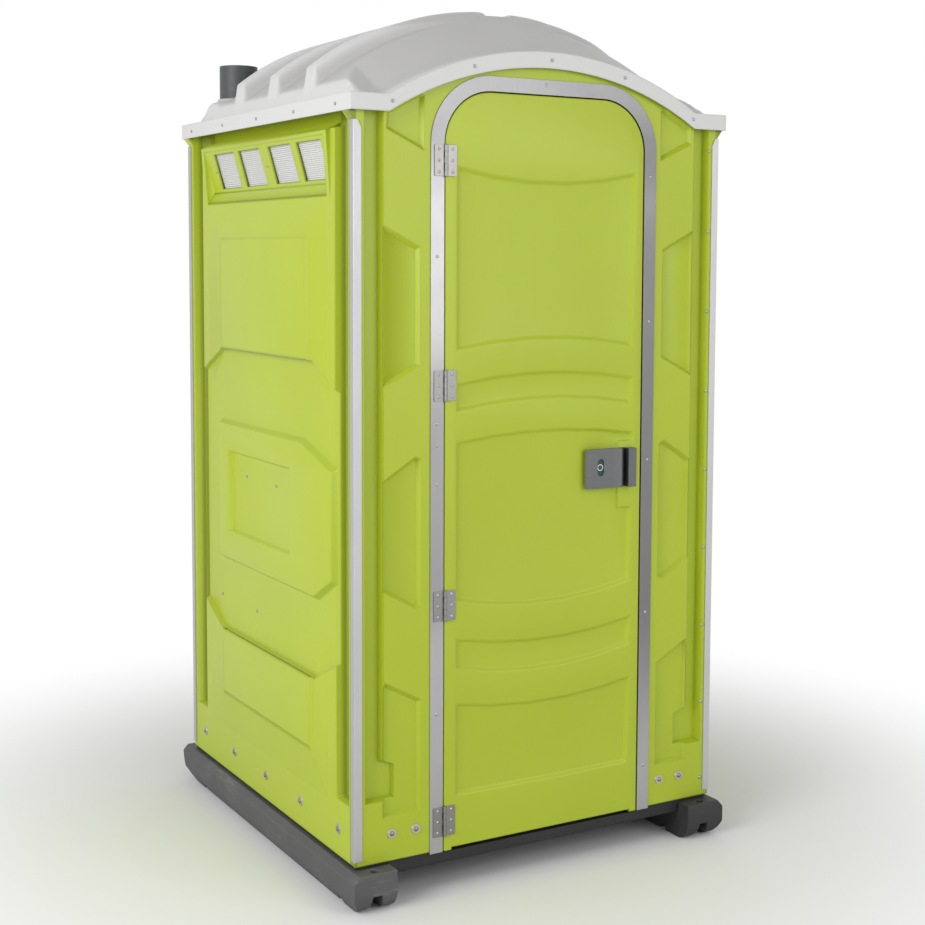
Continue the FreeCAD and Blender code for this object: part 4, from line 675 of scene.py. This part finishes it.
@dataclass
class Workshop:
    """Makes finished pieces from the frame's nodes and from trees."""

    frame: dict[str, Any]
    merge: float = 2e-6
    flat: float = 0.5
    face_room: float = 2.4
    edge_room: float = 2.0

    def body_of(self, node: str) -> Body:
        """The body that holds a node."""
        bodies = self.frame["record"]["behaviour"]["bodies"]
        return Body(next(name for name, nodes in bodies.items() if node in nodes))

    def solid(self, node: str) -> BMesh:
        """Copies a node's solids.

        Args:
            node: the CAD node.

        Returns:
            The mesh, with doubles merged.
        """
        mesh = bmesh.new()
        mesh.from_mesh(self.frame["nodes"][node].data)
        bmesh.ops.remove_doubles(mesh, verts=mesh.verts, dist=self.merge)
        return mesh

    def roomy_edges(self, mesh: BMesh, width: float, turn: float) -> list[BMEdge]:
        """The edges that have room for rounding.

        Args:
            mesh: the shape.
            width: width of the rounding, in metres.
            turn: least angle of a sharp edge, in degrees.

        Returns:
            Sharp edges clear of every face that is too narrow.
        """
        limit = math.radians(turn)
        narrow = {vert for face in mesh.faces if face.calc_area()
                  < self.face_room * width * max(edge.calc_length() for edge in face.edges)
                  for vert in face.verts}
        return [edge for edge in mesh.edges
                if edge.is_manifold and edge.calc_face_angle(0.0) > limit
                and edge.calc_length() > self.edge_room * width and not narrow.intersection(edge.verts)]

    def piece(self, name: str, shape: Mesh | BMesh, body: Body, finish: Finish | None = None,
              smooth: float = 32.0) -> Object:
        """Makes a piece of a mesh that is in place.

        Args:
            name: the piece's name.
            shape: the mesh; a BMesh is freed.
            body: the body it rides.
            finish: its finish, unless the mesh brings it.
            smooth: angle under which faces look round, in degrees.

        Returns:
            The object, at the origin.
        """
        if isinstance(shape, BMesh):
            data = bpy.data.meshes.new(name)
            shape.to_mesh(data)
            shape.free()
        else:
            data = shape
        if finish:
            data.materials.clear()
            data.materials.append(finish.material)
        data.shade_smooth()
        data.set_sharp_from_angle(angle=math.radians(smooth))
        piece = put(name, data)
        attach(piece, body.value)
        log.info("%s: %d faces", name, len(data.polygons))
        return piece

    def dress(self, finish: Finish, slot: str, *nodes: str, bevel: float = 0.0, segments: int = 2,
              smooth: float = 32.0) -> None:
        """Makes a piece in the shape of each node, which it replaces.

        Args:
            finish: the finish.
            slot: the record's material slot; not used.
            nodes: the CAD nodes.
            bevel: width of the edge rounding, in metres, or 0 for none.
            segments: faces across a rounded edge.
            smooth: angle under which faces look round, in degrees.
        """
        for node in nodes:
            mesh = self.solid(node)
            bmesh.ops.dissolve_limit(mesh, angle_limit=math.radians(self.flat), verts=mesh.verts,
                                     edges=mesh.edges)
            if bevel:
                bmesh.ops.bevel(mesh, geom=self.roomy_edges(mesh, bevel, smooth), offset=bevel,
                                segments=segments, profile=0.5, affect="EDGES", clamp_overlap=False)
            piece = self.piece(node + "_dressed", mesh, self.body_of(node), finish, smooth)
            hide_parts(node)

    def grown(self, name: str, group: Group, values: dict[str, Any], body: Body,
              points: Mesh | None = None, thickness: float = 0.0, smooth: float = 30.0) -> Object:
        """A finished piece made by a Geometry Nodes group.

        Args:
            name: the piece's name.
            group: the group.
            values: the group's inputs by their names.
            body: the body the piece rides.
            points: a mesh that the group starts from.
            thickness: sheet thickness given to an open surface, in metres.
            smooth: angle under which faces look round, in degrees.

        Returns:
            The object, with no modifier left on it.
        """
        holder = put(name + "_holder", points or bpy.data.meshes.new(name + "_holder"))
        modifier = holder.modifiers.new("form", "NODES")
        modifier.node_group = group.tree
        for item in group.tree.interface.items_tree:
            if item.in_out == "INPUT" and item.name in values:
                modifier[item.identifier] = values[item.name]
        if thickness:
            sheet = holder.modifiers.new("sheet", "SOLIDIFY")
            sheet.thickness = thickness
            sheet.offset = -1.0
        ready = holder.evaluated_get(bpy.context.evaluated_depsgraph_get())
        data = bpy.data.meshes.new_from_object(ready)
        data.name = name
        bpy.data.objects.remove(holder)
        return self.piece(name, data, body, smooth=smooth)


# --- the cabin ---


@dataclass
class Shell:
    """Walls, corner trims and the slats of the two vent screens."""

    shop: Workshop
    slats: int = 21
    reach: float = 0.0125
    thick: float = 0.0012
    turn: float = 52.0
    inset: float = 0.003
    side_gap: float = 0.002
    foot_out: float = 0.0085
    head_in: float = 0.0075
    wall_bevel: float = 0.003

    def group(self) -> Group:
        """Stacks one bar again and again in even steps.

        Returns:
            The group.
        """
        group = Group("slat_stack", Size="Vector", Start="Vector", Step="Vector", Turn="Vector", Count="Int")
        given = group.given
        bar = group.add("GeometryNodeMeshCube", {"Size": given["Size"]})
        line = group.add("GeometryNodeMeshLine", {
            "Count": given["Count"], "Start Location": given["Start"], "Offset": given["Step"]})
        group.end(group.add("GeometryNodeInstanceOnPoints", {
            "Points": line, "Instance": bar, "Rotation": given["Turn"]}))
        return group

    def louvre(self, node: str, group: Group) -> None:
        """Lays overlapping slats in the place of one louvre screen.

        Args:
            node: the CAD screen.
            group: the group that stacks them.
        """
        low, high = (Vector(corner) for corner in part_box(node))
        side = 1.0 if low.x > 0 else -1.0
        near, far = (low.x, high.x) if side > 0 else (high.x, low.x)
        middle = (low.y + high.y) / 2
        foot = Vector((near + side * self.foot_out, middle, low.z + self.inset))
        head = Vector((far - side * self.head_in, middle, high.z - self.inset))
        piece = self.shop.grown(
            node + "_slats", group,
            {"Size": (self.reach, high.y - low.y - self.side_gap, self.thick), "Start": tuple(foot),
             "Step": tuple((head - foot) / (self.slats - 1)), "Count": self.slats,
             "Turn": (0.0, side * math.radians(self.turn), 0.0), "Finish": Finish.LOUVRE.material},
            Body.CABIN)
        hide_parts(node)

    def build(self) -> None:
        """Dresses the walls and what is let into them."""
        self.shop.dress(Finish.SIDE, "lime_plastic", "left_wall", "right_wall", bevel=self.wall_bevel,
                        segments=3, smooth=20.0)
        self.shop.dress(Finish.LIME, "lime_plastic", "front_wall", "rear_wall", smooth=12.0)
        group = self.group()
        for node in ("left_vent_louvre", "right_vent_louvre"):
            self.louvre(node, group)
        self.shop.dress(Finish.TRIM, "aluminium", "front_left_trim", "front_right_trim", "rear_left_trim",
                        "rear_right_trim")


@dataclass(frozen=True)
class Arch:
    """An arc over a span, symmetrical about the middle."""

    half: float
    foot: float
    crown: float

    @property
    def radius(self) -> float:
        """Radius of the arc."""
        return (self.half ** 2 + (self.crown - self.foot) ** 2) / (2 * (self.crown - self.foot))

    def height(self, across: Value) -> Value:
        """Height of the arc at a distance from the middle."""
        return self.crown - self.radius + (self.radius ** 2 - across * across).at_least(0.0) ** 0.5


@dataclass
class Roof:
    """The one-piece roof: a barrel with three ribs that widen to the ridge, on a flanged eave.

    The front and rear slopes cut the barrel and the ribs off, and a level boss carries the vent pipe.
    """

    shop: Workshop
    reach_x: float = 0.558
    reach_y: float = 0.582
    flange_drop: float = 0.041
    sheet: float = 0.005
    eave: Arch = Arch(0.455, 1.984, 2.113)
    barrel: Arch = Arch(0.540, 2.000, 2.215)
    apron: float = 0.030
    apron_depth: float = 0.02
    slope_foot: float = 0.558
    slope_drop: float = 0.008
    slope_rise: float = 0.560
    slope_blend: float = 0.010
    blend: float = 0.008
    rib_radius: float = 0.8447
    rib_spacing: float = 0.240
    rib_half: float = 0.520
    rib_widest: float = 0.06
    rib_end: float = 0.018
    rib_full: float = 0.121
    rib_rise: float = 0.032
    rib_root: float = 0.004
    rib_fall: float = 0.12
    rib_steep: float = 2.0
    flank: float = 0.024
    flank_spare: float = 0.006
    ridge_half: float = 0.045
    ridge_wall: float = 0.004
    ridge_depth: float = 0.015
    pipe_place: Pair = (-0.430, 0.450)
    pipe_hole: float = 0.058
    boss: Triple = (0.070, 0.105, 2.044)
    collar_inner: float = 0.056
    collar_outer: float = 0.062
    collar_rise: float = 0.011
    collar_edge: float = 0.003
    collar_sink: float = 0.004
    collar_lip: Pair = (0.001, 0.002)
    rib_stop: Pair = (0.506, 0.526)
    pale_flank: float = 0.6
    pale_over_barrel: Pair = (-0.006, 0.006)
    pale_under_slope: Pair = (-0.004, 0.008)
    pale_eave: Pair = (-0.006, 0.004)
    pale_apron: Pair = (0.9, 1.2)
    columns: int = 176
    rows: int = 184
    row_shares: Pair = (0.36, 0.80)
    row_room: float = 0.001

    def top_half(self, side: Value) -> Value:
        """Half the width of a rib's top at a distance from the ridge."""
        widening = ((self.rib_half - side) / (self.rib_half - self.rib_widest)).limited()
        return self.rib_end + widening * (self.rib_full - self.rib_end)

    def rib_near(self, y: Value) -> Value:
        """Which rib is nearest: -1, 0 or 1."""
        return (y / self.rib_spacing).whole().at_least(-1.0).at_most(1.0)

    def from_pipe(self, x: Value, y: Value) -> Value:
        """Distance from the vent pipe's middle."""
        return ((x - self.pipe_place[0]) ** 2.0 + (y - self.pipe_place[1]) ** 2.0) ** 0.5

    def row_place(self, x: Value, y: Value) -> Value:
        """Moves a row of the even grid so that rows run along the edges of the ribs.

        Args:
            x: distance from the middle, sideways.
            y: place of the row in the even grid.

        Returns:
            The place of the row on the roof.
        """
        nearest = self.rib_near(y)
        away = y - nearest * self.rib_spacing
        half = self.rib_spacing / 2 + (away * nearest).over(0.0) * (self.flank + self.flank_spare)
        share = abs(away) / half
        top = self.top_half(abs(x)).at_most(half - 2 * self.row_room)
        flank = (half - self.row_room - top).at_most(self.flank)
        first, second = self.row_shares
        off = (share.ramp(0.0, first) * top + share.ramp(first, second) * flank
               + share.ramp(second, 1.0) * (half - top - flank) + (abs(away) - half).at_least(0.0))
        return nearest * self.rib_spacing + away.sign() * off

    def heights(self, x: Value, y: Value) -> tuple[Value, Value]:
        """Height of the roof over the ground and how pale it is.

        Args:
            x: distance from the middle, sideways.
            y: distance from the middle, lengthways.

        Returns:
            The height in metres, and 1 on rib tops, eave and apron down to 0 elsewhere.
        """
        side = abs(x)
        eave = self.eave.height(side).at_least(self.eave.foot)
        arc = self.barrel.height(side)
        low = eave - self.apron_depth
        barrel = low + (arc - low) * (self.barrel.half - side).ramp(0.0, self.apron)
        past = abs(y - self.rib_near(y) * self.rib_spacing) - self.top_half(side)
        top = self.barrel.crown + self.rib_rise
        crown = top - self.rib_radius + (self.rib_radius ** 2 - side * side) ** 0.5
        fall = (past.ramp(0.0, self.flank)
                + (past - self.flank).at_least(0.0) / self.flank * self.rib_steep)
        rib = crown - fall * (crown - arc + self.rib_root) - side.ramp(*self.rib_stop) * self.rib_fall
        slope = eave - self.slope_drop + (self.slope_foot - abs(y)) * self.slope_rise
        shape = eave.most(barrel.most(rib, self.blend).least(slope, self.slope_blend), self.blend)
        ridge = 1.0 - side.ramp(self.ridge_half - self.ridge_wall, self.ridge_half + self.ridge_wall)
        shape = shape + (shape.at_most(top - self.ridge_depth) - shape) * ridge
        near, far, foot = self.boss
        height = foot + (shape - foot) * self.from_pipe(x, y).ramp(near, far)
        # Only the rib tops are pale, so the flanks take the darker roof colour as painted shade.
        on_rib = ((1.0 - past.ramp(0.0, self.flank * self.pale_flank))
                  * (rib - barrel).ramp(*self.pale_over_barrel)
                  * (slope - rib).ramp(*self.pale_under_slope))
        on_eave = (eave - slope.at_most(barrel)).ramp(*self.pale_eave)
        on_apron = 1.0 - (self.barrel.half - side).ramp(*(self.apron * part for part in self.pale_apron))
        return height, (on_rib + on_eave + on_apron).limited()

    def group(self) -> Group:
        """Forms the roof sheet: a grid with its heights, the pipe's hole and the skirt.

        Returns:
            The group.
        """
        group = Group("roof_form", Width="Float", Depth="Float", Skirt="Float")
        grid = group.add("GeometryNodeMeshGrid", {
            "Size X": group.given["Width"], "Size Y": group.given["Depth"],
            "Vertices X": self.columns, "Vertices Y": self.rows})
        split = group.add("ShaderNodeSeparateXYZ", {0: group.add("GeometryNodeInputPosition")})
        x = group.number(split, 0)
        y = self.row_place(x, group.number(split, 1))
        height, pale = self.heights(x, y)
        marked = group.add("GeometryNodeStoreNamedAttribute", {
            "Geometry": grid, "Name": "rib", "Value": pale}, data_type="FLOAT", domain="POINT")
        place = group.add("ShaderNodeCombineXYZ", {0: x, 1: y, 2: height})
        formed = group.add("GeometryNodeSetPosition", {"Geometry": marked, "Position": place})
        away = self.from_pipe(x, y)
        pierced = group.add("GeometryNodeDeleteGeometry", {
            "Geometry": formed, "Selection": 1.0 - away.over(self.pipe_hole)}, domain="POINT")
        faces = group.number(group.add("GeometryNodeInputMeshEdgeNeighbors"))
        rim = (1.0 - faces.over(1.5)) * away.over(self.pipe_hole * 2)
        drop = group.add("ShaderNodeCombineXYZ", {2: Value(group, group.given["Skirt"]) * -1.0})
        group.end(group.add("GeometryNodeExtrudeMesh", {
            "Mesh": pierced, "Selection": rim, "Offset": drop}, mode="EDGES"))
        return group

    def collar(self) -> BMesh:
        """Turns the collar that the vent pipe comes up through.

        Returns:
            Its mesh.
        """
        mesh = bmesh.new()
        foot, edge = self.boss[2], self.collar_edge
        low, top = foot - self.collar_sink, foot + self.collar_rise
        lip, lip_drop = self.collar_lip
        profile = ((self.collar_outer + edge, low), (self.collar_outer, foot + edge),
                   (self.collar_outer, top - edge), (self.collar_outer - edge, top),
                   (self.collar_inner + lip, top), (self.collar_inner, top - lip_drop),
                   (self.collar_inner, low))
        x, y = self.pipe_place
        verts = [mesh.verts.new((x + radius, y, z)) for radius, z in profile]
        edges = [mesh.edges.new(pair) for pair in zip(verts, verts[1:])]
        bmesh.ops.spin(mesh, geom=verts + edges, cent=(x, y, 0), axis=(0, 0, 1), angle=math.tau, steps=48,
                       use_merge=True)
        bmesh.ops.remove_doubles(mesh, verts=mesh.verts, dist=1e-5)
        bmesh.ops.recalc_face_normals(mesh, faces=mesh.faces)
        return mesh

    def build(self) -> None:
        """Forms the roof and its collar, which stand for the roof of the frame."""
        piece = self.shop.grown(
            "roof_formed", self.group(),
            {"Width": 2 * self.reach_x, "Depth": 2 * self.reach_y, "Skirt": self.flange_drop,
             "Finish": Finish.ROOF.material}, Body.CABIN, thickness=self.sheet, smooth=40.0)
        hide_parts("roof")
        collar = self.shop.piece("roof_pipe_collar", self.collar(), Body.CABIN, Finish.ROOF)


@dataclass
class Base:
    """Skids and floor pan."""

    shop: Workshop
    skid_bevel: float = 0.004

    def build(self) -> None:
        """Dresses the base."""
        self.shop.dress(Finish.SKID, "skid_plastic", "left_skid", bevel=self.skid_bevel)
        # The right skid takes the darker copy of the skid plastic as painted shade.
        self.shop.dress(Finish.SKID_PAINTED_SHADE, "skid_plastic", "right_skid", bevel=self.skid_bevel)
        self.shop.dress(Finish.PAN, "pan_plastic", "floor_pan")


@dataclass
class Hinges:
    """The four hinges: two leaves with round knuckles and a pin each."""

    shop: Workshop
    axis: Pair = (-0.297, -0.57385)
    length: float = 0.076
    pitch: float = 0.550
    first: float = 0.183
    count: int = 4
    knuckles: int = 5
    knuckle_radius: float = 0.00455
    knuckle_gap: float = 0.0006
    leaf_face: float = -0.571
    leaf_near: float = 0.00515
    leaf_far: float = 0.03115
    leaf_thick: float = 0.002
    leaf_corner: float = 0.0015
    tongue_thick: float = 0.0016
    tongue_overlap: float = 0.001
    pin_radius: float = 0.0024
    pin_over: float = 0.0008
    cap_radius: float = 0.00375
    cap_flat: float = 0.4

    def leaf(self, mesh: BMesh, middle: float, side: float, turns: Sequence[int]) -> None:
        """Adds one hinge leaf and its rolled knuckles.

        Args:
            mesh: the mesh that gets them.
            middle: height of the hinge's middle.
            side: -1 for the frame's leaf, 1 for the door's leaf.
            turns: the knuckles, counted from below, that belong to the leaf.
        """
        x, y = self.axis
        thick = self.leaf_thick
        size = Vector((self.leaf_far - self.leaf_near, thick, self.length))
        place = Vector((x + side * (self.leaf_near + self.leaf_far) / 2, self.leaf_face + thick / 2, middle))
        made = bmesh.ops.create_cube(mesh, matrix=Matrix.LocRotScale(place, None, size))
        corners = [edge for edge in {e for vert in made["verts"] for e in vert.link_edges}
                   if abs(edge.verts[0].co.y - edge.verts[1].co.y) > thick / 2]
        bmesh.ops.bevel(mesh, geom=corners, offset=self.leaf_corner, segments=3, affect="EDGES")
        share = self.length / self.knuckles
        long = share - self.knuckle_gap
        for turn in turns:
            height = middle - self.length / 2 + (turn + 0.5) * share
            tongue = Vector((x + side * self.leaf_near / 2, self.leaf_face + self.tongue_thick / 2, height))
            bmesh.ops.create_cube(mesh, matrix=Matrix.LocRotScale(
                tongue, None, Vector((self.leaf_near + self.tongue_overlap, self.tongue_thick, long))))
            bmesh.ops.create_cone(mesh, cap_ends=True, segments=24, radius1=self.knuckle_radius,
                                  radius2=self.knuckle_radius, depth=long,
                                  matrix=Matrix.Translation((x, y, height)))

    def pin(self, mesh: BMesh, middle: float) -> None:
        """Adds one hinge pin with a cap at each end.

        Args:
            mesh: the mesh that gets it.
            middle: height of the hinge's middle.
        """
        for end in (-0.5, 0.5):
            place = Matrix.Translation((*self.axis, middle + end * self.length))
            bmesh.ops.create_uvsphere(mesh, u_segments=16, v_segments=6, radius=self.cap_radius,
                                      matrix=place @ Matrix.Diagonal((1, 1, self.cap_flat, 1)))
        bmesh.ops.create_cone(mesh, cap_ends=True, segments=16, radius1=self.pin_radius,
                              radius2=self.pin_radius, depth=self.length + self.pin_over,
                              matrix=Matrix.Translation((*self.axis, middle)))

    def build(self) -> None:
        """Builds the leaves and the pins."""
        middles = [self.first + number * self.pitch for number in range(self.count)]
        for name, side, turns, body in (("frame", -1.0, (0, 2, 4), Body.CABIN),
                                        ("door", 1.0, (1, 3), Body.DOOR)):
            mesh = bmesh.new()
            for middle in middles:
                self.leaf(mesh, middle, side, turns)
            piece = self.shop.piece(f"hinge_{name}_leaves", mesh, body, Finish.STEEL)
            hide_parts(*(f"hinge_{name}_leaf_{number + 1}" for number in range(self.count)))
        mesh = bmesh.new()
        for middle in middles:
            self.pin(mesh, middle)
        pins = self.shop.piece("hinge_pins_turned", mesh, Body.CABIN, Finish.STEEL)
        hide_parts("hinge_pins")


@dataclass
class Door:
    """Door skins, frame, hinges and lock."""

    shop: Workshop
    skin_bevel: float = 0.003
    lock_bevel: float = 0.0012

    def build(self) -> None:
        """Dresses the door and its frame."""
        self.shop.dress(Finish.LIME, "lime_plastic", "door_outer_skin", "door_inner_skin",
                        bevel=self.skin_bevel, segments=3, smooth=20.0)
        self.shop.dress(Finish.ALUMINIUM, "aluminium", "door_frame", "strike_plate")
        Hinges(self.shop).build()
        self.shop.dress(Finish.LOCK, "lock_plastic", "lock_case", "lock_inner_case", "lock_knob",
                        bevel=self.lock_bevel, smooth=12.0)
        self.shop.dress(Finish.DIAL, "dial_plastic", "occupancy_dial")
        self.shop.dress(Finish.STEEL, "steel", "lock_spindle", "lock_crank", "latch_bolt")


@dataclass
class Interior:
    """Tank, seat, vent pipe, urinal and paper."""

    shop: Workshop

    def build(self) -> None:
        """Dresses what is inside."""
        self.shop.dress(Finish.PAN, "pan_plastic", "waste_tank", "toilet_seat", "toilet_lid",
                        "seat_hinge_brackets")
        self.shop.dress(Finish.PIPE, "pipe_plastic", "vent_pipe", "urinal_drain_tube")
        self.shop.dress(Finish.WHITE, "white_plastic", "urinal", "paper_holder")
        self.shop.dress(Finish.STEEL, "steel", "seat_hinge_pin")
        self.shop.dress(Finish.PAPER, "paper", "paper_roll_1", "paper_roll_2")


@dataclass(frozen=True)
class Seat:
    """Where one fastener sits: the middle of its head's top and the way it faces."""

    place: Vector
    facing: Vector


@dataclass
class Fasteners:
    """Domed heads and round washers, placed where the frame has its fasteners.

    Rivet, screw and bolt each have the radius and the rise of their heads.
    """

    shop: Workshop
    sides: int = 14
    rings: int = 6
    washer_foot: float = 0.013
    washer_top: float = 0.0122
    washer_thick: float = 0.002
    rivet: Pair = (0.0046, 0.0028)
    screw: Pair = (0.004, 0.0024)
    bolt: Pair = (0.0065, 0.004)

    def seats(self, node: str) -> list[Seat]:
        """Finds the separate fasteners of a node.

        Args:
            node: the CAD node.

        Returns:
            One seat for each.
        """
        mesh = self.shop.solid(node)
        found: list[Seat] = []
        done: set[BMVert] = set()
        for start in mesh.verts:
            if start in done:
                continue
            island, queue = [], [start]
            done.add(start)
            while queue:
                vert = queue.pop()
                island.append(vert.co.copy())
                near = {edge.other_vert(vert) for edge in vert.link_edges} - done
                done |= near
                queue.extend(near)
            found.append(self.seat_of(island))
        mesh.free()
        return found

    def seat_of(self, points: Sequence[Vector]) -> Seat:
        """Finds the top of one fastener's head.

        Args:
            points: its corners.

        Returns:
            Its seat.
        """
        low, high = (Vector(pick(p[axis] for p in points) for axis in range(3)) for pick in (min, max))
        place, extent = (low + high) / 2, high - low
        axis = 0 if abs(extent.x - extent.z) > abs(extent.y - extent.z) else 1
        facing = Vector((0, 0, 0))
        facing[axis] = 1.0 if place[axis] > 0 else -1.0
        place[axis] = (high if facing[axis] > 0 else low)[axis]
        return Seat(place, facing)

    def washers(self) -> None:
        """Builds the round washers of the base bolts."""
        mesh = bmesh.new()
        for seat in self.seats("base_washers"):
            turn = seat.facing.to_track_quat("Z", "Y").to_matrix().to_4x4()
            middle = seat.place - seat.facing * self.washer_thick / 2
            bmesh.ops.create_cone(mesh, cap_ends=True, segments=32, radius1=self.washer_foot,
                                  radius2=self.washer_top, depth=self.washer_thick,
                                  matrix=Matrix.Translation(middle) @ turn)
        piece = self.shop.piece("base_washer_discs", mesh, Body.CABIN, Finish.WASHER)
        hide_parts("base_washers")

    def group(self) -> Group:
        """Sets a domed head on each point, turned by the attribute "facing".

        Returns:
            The group.
        """
        group = Group("rivet_head", Radius="Float", Rise="Float")
        given = group.given
        ball = group.add("GeometryNodeMeshUVSphere", {
            "Segments": self.sides, "Rings": self.rings, "Radius": 1.0})
        size = group.add("ShaderNodeCombineXYZ", {0: given["Radius"], 1: given["Radius"], 2: given["Rise"]})
        facing = group.add("GeometryNodeInputNamedAttribute", {"Name": "facing"}, data_type="FLOAT_VECTOR")
        turn = group.add("FunctionNodeAlignEulerToVector", {"Vector": facing}, axis="Z")
        heads = group.add("GeometryNodeInstanceOnPoints", {
            "Points": given["Geometry"], "Instance": ball, "Rotation": turn, "Scale": size})
        real = group.add("GeometryNodeRealizeInstances", {0: heads})
        group.end(group.add("GeometryNodeSetShadeSmooth", {0: real}))
        return group

    def row(self, name: str, nodes: Sequence[str], body: Body, head: Pair, finish: Finish,
            group: Group) -> None:
        """Sets heads in one mesh, each sunk by its rise under the top of the solid's head.

        Args:
            name: the piece's name.
            nodes: CAD nodes whose fasteners they stand for.
            body: the body they ride.
            head: their radius and rise.
            finish: their finish.
            group: the group that sets them.
        """
        radius, rise = head
        seats = [seat for node in nodes for seat in self.seats(node)]
        points = bpy.data.meshes.new(name + "_points")
        points.from_pydata([seat.place - seat.facing * rise for seat in seats], [], [])
        facing = points.attributes.new("facing", "FLOAT_VECTOR", "POINT")
        for mark, seat in zip(facing.data, seats):
            mark.vector = seat.facing
        piece = self.shop.grown(name, group, {"Radius": radius, "Rise": rise, "Finish": finish.material},
                                body, points)
        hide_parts(*nodes)

    def build(self) -> None:
        """Sets the rivets and screws, and the base bolts on their washers."""
        group = self.group()
        for name, nodes, body in (
                ("shell_rivet_heads", ("roof_rivets", "corner_rivets", "frame_rivets", "wall_rivets",
                                       "vent_rivets"), Body.CABIN),
                ("frame_leaf_rivet_heads", ("hinge_frame_rivets",), Body.CABIN),
                ("door_leaf_rivet_heads", ("hinge_door_rivets",), Body.DOOR)):
            self.row(name, nodes, body, self.rivet, Finish.RIVET, group)
        self.row("lock_screw_heads", ("lock_screws",), Body.DOOR, self.screw, Finish.STEEL, group)
        self.washers()
        self.row("base_bolt_heads", ("base_bolts",), Body.CABIN, self.bolt, Finish.BOLT, group)


# --- the studio ---


def seen(tree: Tree) -> Value:
    """Finds the rays that show the background: straight, mirrored or through glass.

    Args:
        tree: the tree that asks.

    Returns:
        1 for such a ray, otherwise 0.
    """
    path = tree.add("ShaderNodeLightPath")
    straight, mirrored, through = (tree.number(path, f"Is {kind} Ray")
                                   for kind in ("Camera", "Glossy", "Transmission"))
    return (straight + mirrored + through).limited()


def whiten(tree: Tree, kind: str, mask: Value, shader: Node, output: str) -> None:
    """Mixes even white over a shader.

    Args:
        tree: the tree that both are in.
        kind: the node that makes the white.
        mask: 1 where only the white shows.
        shader: the shader.
        output: the tree's output node.
    """
    white = tree.add(kind, {"Color": (1, 1, 1, 1), "Strength": 1.0})
    mixed = tree.add("ShaderNodeMixShader", {0: mask, 1: shader, 2: white})
    tree.feed(tree.tree.nodes[output].inputs["Surface"], mixed)


@dataclass(frozen=True)
class Lamp:
    """One soft square lamp that faces the cabin's middle."""

    name: str
    place: Triple
    power: float
    size: float = 3.0
    target: Triple = (0.0, 0.0, 1.1)

    def hang(self) -> None:
        """Hangs the lamp in the scene."""
        data = bpy.data.lights.new(self.name, "AREA")
        data.size = self.size
        data.energy = self.power
        lamp = put(self.name, data)
        lamp.location = self.place
        away = Vector(self.target) - Vector(self.place)
        lamp.rotation_euler = away.to_track_quat("-Z", "Y").to_euler()


@dataclass
class Studio:
    """Floor, lamps and camera of the photograph."""

    focal: float = 1569.1
    frame_width: float = 925.0
    azimuth: float = -30.788
    elevation: float = 4.543
    roll: float = 0.313
    across: float = 0.1782
    upward: float = 1.2345
    distance: float = 4.6033
    centre: Pair = (500.0, 383.0)
    sensor: float = 36.0
    clip: Pair = (0.05, 200.0)
    floor_half: float = 40.0
    floor_grey: float = 0.86
    floor_roughness: float = 0.9
    floor_fade: Pair = (0.7, 2.2)
    ambient: float = 0.5
    lamps: tuple[Lamp, ...] = (Lamp("key_lamp", (-4.6, -1.6, 2.5), 146.0),
                               Lamp("front_lamp", (1.6, -5.2, 2.5), 79.0))

    def camera(self) -> None:
        """Sets the camera where the photograph was taken."""
        turn, tilt, roll = (math.radians(v) for v in (self.azimuth, self.elevation, self.roll))
        back = Vector((math.sin(turn) * math.cos(tilt), -math.cos(turn) * math.cos(tilt), math.sin(tilt)))
        right = Vector((math.cos(turn), math.sin(turn), 0.0))
        up = back.cross(right)
        side = right * math.cos(roll) + up * math.sin(roll)
        top = up * math.cos(roll) - right * math.sin(roll)
        eye = side * self.across + top * self.upward + back * self.distance
        data = bpy.data.cameras.new("photo_camera")
        data.sensor_width = self.sensor
        data.lens = self.focal / self.frame_width * self.sensor
        half = self.frame_width / 2
        data.shift_x = (half - self.centre[0]) / self.frame_width
        data.shift_y = (self.centre[1] - half) / self.frame_width
        data.clip_start, data.clip_end = self.clip
        camera = put("photo_camera", data)
        camera.matrix_world = Matrix.Translation(eye) @ Matrix((side, top, back)).transposed().to_4x4()
        bpy.context.scene.camera = camera

    def floor(self) -> None:
        """Lays a plain pale floor that keeps the cabin's shadow and turns white far out."""
        mesh = bmesh.new()
        bmesh.ops.create_grid(mesh, x_segments=1, y_segments=1, size=self.floor_half)
        data = bpy.data.meshes.new("studio_floor")
        mesh.to_mesh(data)
        mesh.free()
        surface = Surface("studio_floor")
        surface.set(Base_Color=(*[self.floor_grey] * 3, 1.0), Roughness=self.floor_roughness)
        x, y, _ = surface.axes()
        far = ((x * x + y * y) ** 0.5).ramp(*self.floor_fade)
        whiten(surface, "ShaderNodeEmission", far * seen(surface), surface.shader, "Material Output")
        data.materials.append(surface.material)
        put("studio_floor", data)

    def world(self) -> None:
        """Surrounds the scene with even light and a white background."""
        world = bpy.data.worlds.new("studio")
        world.use_nodes = True
        bpy.context.scene.world = world
        tree = Tree(world.node_tree)
        light = world.node_tree.nodes["Background"]
        tree.feed(light.inputs["Color"], (1, 1, 1, 1))
        tree.feed(light.inputs["Strength"], self.ambient)
        whiten(tree, "ShaderNodeBackground", seen(tree), light, "World Output")

    def build(self) -> None:
        """Sets up the whole studio."""
        bpy.context.scene.view_settings.view_transform = "Standard"
        self.camera()
        self.floor()
        self.world()
        for lamp in self.lamps:
            lamp.hang()


def main() -> None:
    """Builds and dresses the whole cabin."""
    logging.basicConfig(level=logging.INFO, format="%(name)s %(message)s")
    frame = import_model()
    Studio().build()
    shop = Workshop(frame)
    for part in (Shell, Roof, Base, Door, Interior, Fasteners):
        part(shop).build()


if __name__ == "__main__":
    main()
